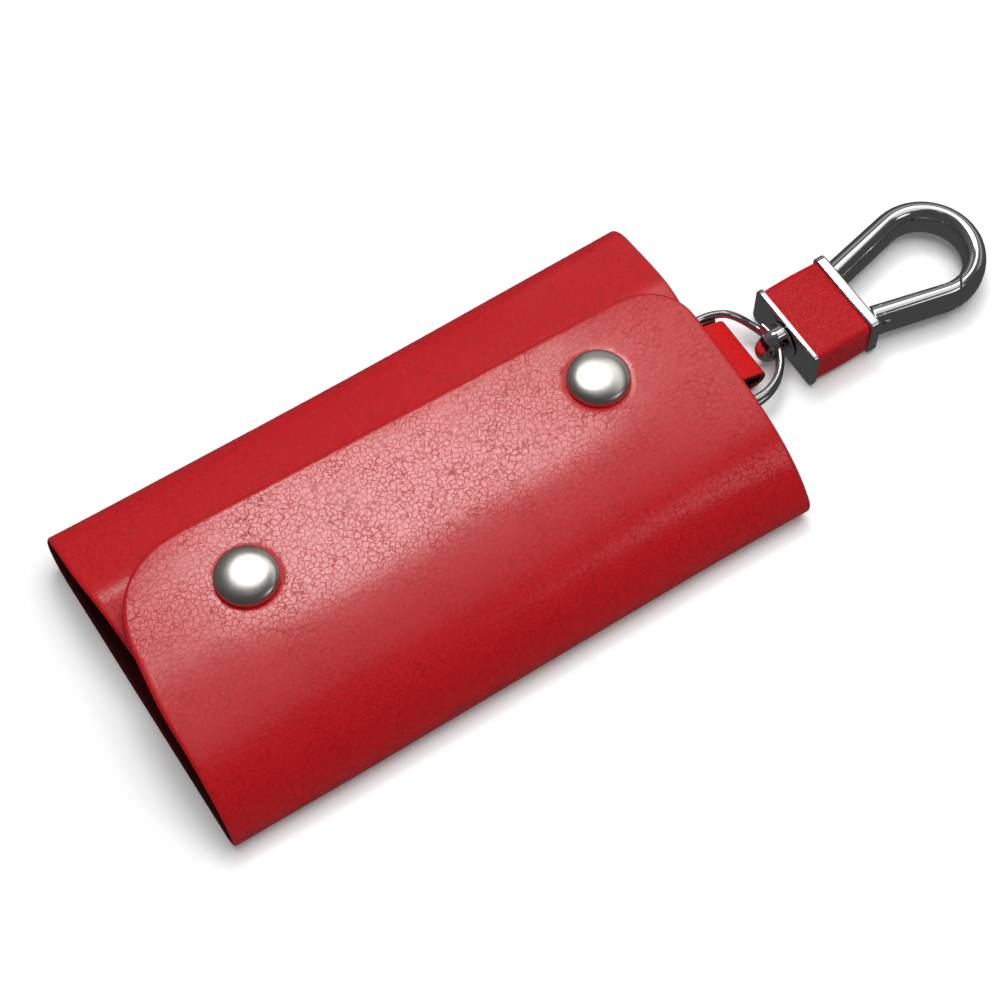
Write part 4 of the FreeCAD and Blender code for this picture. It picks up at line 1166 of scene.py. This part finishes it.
# %% Plates and band
RIM = 1.1 * MM
RIM_WORN = 0.22 * MM
PLATE_DEPTH = 2.1 * MM
PLATE_WORN = 0.35 * MM
BAND_INSET = 0.45 * MM
BAND_WORN = 0.25 * MM
BAND_SWELL = 0.15 * MM
plate_low, plate_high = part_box("end_cap")
block_start = plate_low.x
band_start, band_end = block_start + RIM, plate_front - PLATE_DEPTH
half_width = (plate_high.y - plate_low.y) / 2
half_height = (plate_high.z - plate_low.z) / 2
end_plate = slab("end_plate", block_start, band_start, half_width, half_height, RIM_WORN, hook_chrome)
front_plate = slab("front_plate", band_end, plate_front, half_width, half_height, PLATE_WORN, hook_chrome)
hook_band = slab(
    "hook_band", band_start, band_end, half_width - BAND_INSET, half_height - BAND_INSET,
    BAND_WORN, band_leather, swell=BAND_SWELL)

# %% Lugs, and what rides on the hook
LUG_RADIUS = 1.65 * MM
LUG_ROOT = 0.3 * MM
LUG_LEVELS = (1.3 * MM, 2.1 * MM)
LUG_EASE = 0.12 * MM


def lug(name, low, high):
    """A flat eye round the gate's pin, joined to the front plate."""
    root = plate_front - LUG_ROOT
    round_end = arc((pivot.x, pivot.y), LUG_RADIUS, 90, -90)
    outline = [(root, pivot.y + LUG_RADIUS), *round_end, (root, pivot.y - LUG_RADIUS)]
    rings = [np.array([(x, y, z) for x, y in outline[::-1]]) for z in (low, high)]
    piece = skin(name, rings, hook_chrome)
    for face in piece.data.polygons:
        face.use_smooth = len(face.vertices) == 4
    ease_edges(piece, LUG_EASE)
    return piece


upper_lug = lug("upper_lug", hook_z + LUG_LEVELS[0], hook_z + LUG_LEVELS[1])
lower_lug = lug("lower_lug", hook_z - LUG_LEVELS[1], hook_z - LUG_LEVELS[0])
for piece in (hook_bow, front_plate, upper_lug, lower_lug):
    dress(piece, "hook", "hook_body")
dress(end_plate, "hook", "end_cap")
dress(hook_band, "hook", "leather_band")

# %% [markdown]
# ## The swivel
# A stout loop holds the split ring and turns in the block on a round collar. The loop is a bar
# bent round the ring's wire; it is wider across than it is thick, and its legs end in the collar.
# Half a torus with two cylinders would be close, but one skin along a line has no joins to hide.

# %% Loop and collar
LOOP_RADIUS = 3.05 * MM
LOOP_WIDTH = 3.0 * MM
LOOP_THICK = 2.0 * MM
LOOP_STEPS = 60
COLLAR_RADIUS = 3.8 * MM
COLLAR_THICK = 0.6 * MM
COLLAR_GAP = 0.1498 * MM
COLLAR_WORN = 0.15 * MM
ALONG = ((0, 1, 0), (0, 0, 1), (1, 0, 0))
eye = Vector(joints["eye_tilt"]["pos_m"])
collar_end = block_start - COLLAR_GAP
collar_start = collar_end - COLLAR_THICK
leg_x = collar_start + COLLAR_WORN
loop_line = Line(
    run((leg_x, eye.z + LOOP_RADIUS), (eye.x, eye.z + LOOP_RADIUS)),
    arc((eye.x, eye.z), LOOP_RADIUS, 90, 270),
    run((eye.x, eye.z - LOOP_RADIUS), (leg_x, eye.z - LOOP_RADIUS)),
)


def loop_rings():
    """Rings of the loop's section along its line, which stands upright."""
    turn = np.linspace(0, 2 * math.pi, BAR_SIDES, endpoint=False)[:, None]
    wide = np.cos(turn) * LOOP_WIDTH / 2 * np.array((0, 1, 0))
    rings = []
    for here in np.linspace(0, loop_line.length, LOOP_STEPS):
        ahead = way_along(loop_line, here)
        x, z = loop_line.at(here)
        thick = np.sin(turn) * LOOP_THICK / 2 * np.array((ahead[1], 0, -ahead[0]))
        rings.append(np.array((x, eye.y, z)) + wide + thick)
    return rings


collar_profile = [
    (COLLAR_RADIUS - COLLAR_WORN, collar_start), (COLLAR_RADIUS, leg_x),
    (COLLAR_RADIUS, collar_end - COLLAR_WORN), (COLLAR_RADIUS - COLLAR_WORN, collar_end),
]
swivel_loop = skin("swivel_loop", loop_rings(), hook_chrome)
swivel_collar = turned("swivel_collar", collar_profile, (0, eye.y, eye.z), ALONG, hook_chrome)
for piece in (swivel_loop, swivel_collar):
    dress(piece, "swivel", "swivel_eye")

# %% [markdown]
# ## The studio
# The case lies on a pale floor that keeps its shadow. Polished metal shows whatever stands round
# it, so a product photographer builds a set for the reflections alone: here a dim dome and floor,
# a grey screen behind the hook and a white card above it. They could be painted planes lit by
# lamps. As glowing surfaces that only reflections see, they change nothing else, and the lamps
# can stay plain.

# %% Floor
FLOOR_WHITE = (0.93, 0.93, 0.93)
FLOOR_ROUGHNESS = 0.9
FLOOR_LIFT = 0.10
FLOOR_HALF = 3.0
FLOOR_DROP = 0.15 * MM


def flat_card(name, low, high, height, material):
    """A level card between two corners at a height."""
    corners = [(low[0], low[1]), (high[0], low[1]), (high[0], high[1]), (low[0], high[1])]
    card = new_piece(name, [(x, y, height) for x, y in corners], [(0, 1, 2, 3)], [material])
    return card


def floor_finish():
    """Pale matt paint, to which the camera alone sees a little white added."""
    material, tree, shader = new_material("floor_paint")
    shader.inputs["Base Color"].default_value = (*FLOOR_WHITE, 1)
    shader.inputs["Roughness"].default_value = FLOOR_ROUGHNESS
    shader.inputs["Specular IOR Level"].default_value = 0.0
    path = add_node(tree, "ShaderNodeLightPath")
    strength = math_node(tree, "MULTIPLY", path.outputs["Is Camera Ray"], FLOOR_LIFT)
    shader.inputs["Emission Color"].default_value = (1, 1, 1, 1)
    tree.links.new(strength, shader.inputs["Emission Strength"])
    return material


flat_card("floor", (-FLOOR_HALF, -FLOOR_HALF), (FLOOR_HALF, FLOOR_HALF), -FLOOR_DROP, floor_finish())

# %% A graded dome and floor for reflections
DOME_RADIUS = 1.6
DOME_TURNS = 48
DOME_RISES = 12
DOME_FOOT = -2.0
DOME_TOP = 88.0
BRIGHT_SIDE = (0.25, 0.90, 0.35)
DARK_GLOW = 0.06
BRIGHT_GLOW = 0.12


def graded_finish(name, side, reach, low, high):
    """A glow that grows towards one side, for a backdrop that only reflections see."""
    material = bpy.data.materials.new(name)
    material.use_nodes = True
    tree = material.node_tree
    tree.nodes.clear()
    towards = add_node(tree, "ShaderNodeVectorMath", {"operation": "DOT_PRODUCT"})
    tree.links.new(add_node(tree, "ShaderNodeTexCoord").outputs["Object"], towards.inputs[0])
    towards.inputs[1].default_value = side
    grade = add_node(tree, "ShaderNodeMapRange", SMOOTH, From_Max=reach, To_Min=low, To_Max=high)
    tree.links.new(towards.outputs["Value"], grade.inputs["Value"])
    glow = add_node(tree, "ShaderNodeEmission")
    tree.links.new(grade.outputs["Result"], glow.inputs["Strength"])
    out = add_node(tree, "ShaderNodeOutputMaterial")
    tree.links.new(glow.outputs[0], out.inputs["Surface"])
    return material


def only_in_reflections(card):
    """Hides a card from everything but glossy rays."""
    card.visible_camera = False
    card.visible_diffuse = False
    card.visible_transmission = False
    card.visible_shadow = False
    card.visible_volume_scatter = False


def card_dome(name, radius, material):
    """A dome of cards round the set, with a small opening at its top."""
    points = []
    for rise in np.radians(np.linspace(DOME_FOOT, DOME_TOP, DOME_RISES)):
        for turn in np.linspace(0, 2 * math.pi, DOME_TURNS, endpoint=False):
            level = radius * math.cos(rise)
            points.append((level * math.cos(turn), level * math.sin(turn), radius * math.sin(rise)))
    dome = new_piece(name, points, ring_faces(DOME_RISES, DOME_TURNS), [material])
    return dome


dome_glow = graded_finish("dome_glow", BRIGHT_SIDE, DOME_RADIUS, DARK_GLOW, BRIGHT_GLOW)
only_in_reflections(card_dome("card_dome", DOME_RADIUS, dome_glow))
floor_glow = graded_finish("floor_glow", BRIGHT_SIDE, DOME_RADIUS, DARK_GLOW, DARK_GLOW)
near_corner, far_corner = (-DOME_RADIUS, -DOME_RADIUS), (DOME_RADIUS, DOME_RADIUS)
only_in_reflections(flat_card("card_floor", near_corner, far_corner, -FLOOR_DROP / 2, floor_glow))

# %% A grey screen behind the hook and a white card above it
SCREEN_CENTRE = (95.0 * MM, 0.0)
SCREEN_RADIUS = 150.0 * MM
SCREEN_HEIGHT = 115.0 * MM
SCREEN_SPAN = (-20.0, 95.0)
SCREEN_GLOW = 0.42
CARD_LOW = (145.0 * MM, -70.0 * MM)
CARD_HIGH = (240.0 * MM, 110.0 * MM)
CARD_HEIGHT = 250.0 * MM
CARD_SIDE = (0.0, 1.0, 0.0)
CARD_FADE = 80.0 * MM
CARD_GLOW = (0.75, 1.20)


def round_screen(name, material):
    """An upright screen bent round the hook's far side."""
    foot = arc(SCREEN_CENTRE, SCREEN_RADIUS, *SCREEN_SPAN)
    points = [(x, y, z) for z in (0.0, SCREEN_HEIGHT) for x, y in foot]
    count = len(foot)
    faces = [(k, k + 1, count + k + 1, count + k) for k in range(count - 1)]
    screen = new_piece(name, points, faces, [material])
    return screen


screen_glow = graded_finish("screen_glow", UP, SCREEN_HEIGHT, DARK_GLOW, SCREEN_GLOW)
only_in_reflections(round_screen("grey_screen", screen_glow))
card_glow = graded_finish("card_glow", CARD_SIDE, CARD_FADE, *CARD_GLOW)
only_in_reflections(flat_card("white_card", CARD_LOW, CARD_HIGH, CARD_HEIGHT, card_glow))

# %% [markdown]
# ## The lights
# Four soft area lights do the work. A key light behind the case is mirrored by the waxed flap as
# its broad sheen. A weaker one further round brightens the tops of the metal, and one at the front
# draws a line on the flap's fold. A wide fill from above gives the plain level of light; it is
# kept out of reflections, because so large a light would wash the leather out. The world is white
# where the camera or the metal sees it, and only a dim fill elsewhere.

# %% Lights
LIT_POINT = Vector((0.01, 0, 0))


def soft_light(name, direction, distance, size, brightness, shines=True):
    """A round or oval softbox that faces the case; brightness is how bright its face looks."""
    data = bpy.data.lights.new(name, "AREA")
    data.shape = "ELLIPSE"
    data.size, data.size_y = size
    data.energy = brightness * math.pi * size[0] * size[1]
    light = bpy.data.objects.new(name, data)
    towards = Vector(direction).normalized()
    light.location = LIT_POINT + towards * distance
    light.rotation_mode = "QUATERNION"
    light.rotation_quaternion = towards.to_track_quat("Z", "Y")
    light.visible_glossy = shines
    bpy.context.scene.collection.objects.link(light)
    print(name, "gives", round(data.energy, 2), "watts")


soft_light("key_softbox", (0.186, 0.428, 0.884), distance=1.04, size=(0.335, 0.26), brightness=7.6)
soft_light("back_softbox", (0.510, 0.360, 0.780), distance=1.10, size=(0.30, 0.32), brightness=1.15)
soft_light("front_strip", (0.44, -0.58, 0.69), distance=0.90, size=(0.34, 0.26), brightness=0.9)
soft_light("fill_softbox", (0.15, 0.08, 0.98), distance=1.30, size=(1.3, 1.3), brightness=2.9, shines=False)

# %% World
AMBIENT = 0.12


def make_world():
    """White to the camera and in reflections, and a dim fill for everything else."""
    world = bpy.data.worlds.new("white_studio")
    bpy.context.scene.world = world
    world.use_nodes = True
    tree = world.node_tree
    tree.nodes.clear()
    path = add_node(tree, "ShaderNodeLightPath").outputs
    seen = math_node(tree, "MAXIMUM", path["Is Camera Ray"], path["Is Glossy Ray"])
    seen = math_node(tree, "MAXIMUM", seen, path["Is Transmission Ray"])
    white = (1, 1, 1, 1)
    dim = add_node(tree, "ShaderNodeBackground", Strength=AMBIENT, Color=white)
    bright = add_node(tree, "ShaderNodeBackground", Strength=1.0, Color=white)
    both = add_node(tree, "ShaderNodeMixShader")
    tree.links.new(seen, both.inputs[0])
    tree.links.new(dim.outputs[0], both.inputs[1])
    tree.links.new(bright.outputs[0], both.inputs[2])
    out = add_node(tree, "ShaderNodeOutputWorld")
    tree.links.new(both.outputs[0], out.inputs["Surface"])


make_world()
bpy.context.scene.view_settings.view_transform = "Standard"
print("view transform:", bpy.context.scene.view_settings.view_transform)

# %% [markdown]
# ## The camera
# The photograph looks down at about 62 degrees, turned about 33 degrees from the case's length,
# from not quite half a metre with a long lens. Those numbers were fitted to the case's corners.

# %% Camera
LENS = 89.39
SENSOR = 36.0
CLIP_START = 0.01
CAMERA_PLACE = Vector((-100.8, -177.5, 396.5)) * MM
LOOK_AT = Vector((13.71, -0.29, 0.0)) * MM
camera_data = bpy.data.cameras.new("camera")
camera_data.lens = LENS
camera_data.sensor_width = SENSOR
camera_data.clip_start = CLIP_START
camera = bpy.data.objects.new("camera", camera_data)
camera.location = CAMERA_PLACE
camera.rotation_mode = "QUATERNION"
camera.rotation_quaternion = (LOOK_AT - CAMERA_PLACE).to_track_quat("-Z", "Y")
bpy.context.scene.collection.objects.link(camera)
bpy.context.scene.camera = camera
print("camera is", round((CAMERA_PLACE - LOOK_AT).length / MM), "mm away")
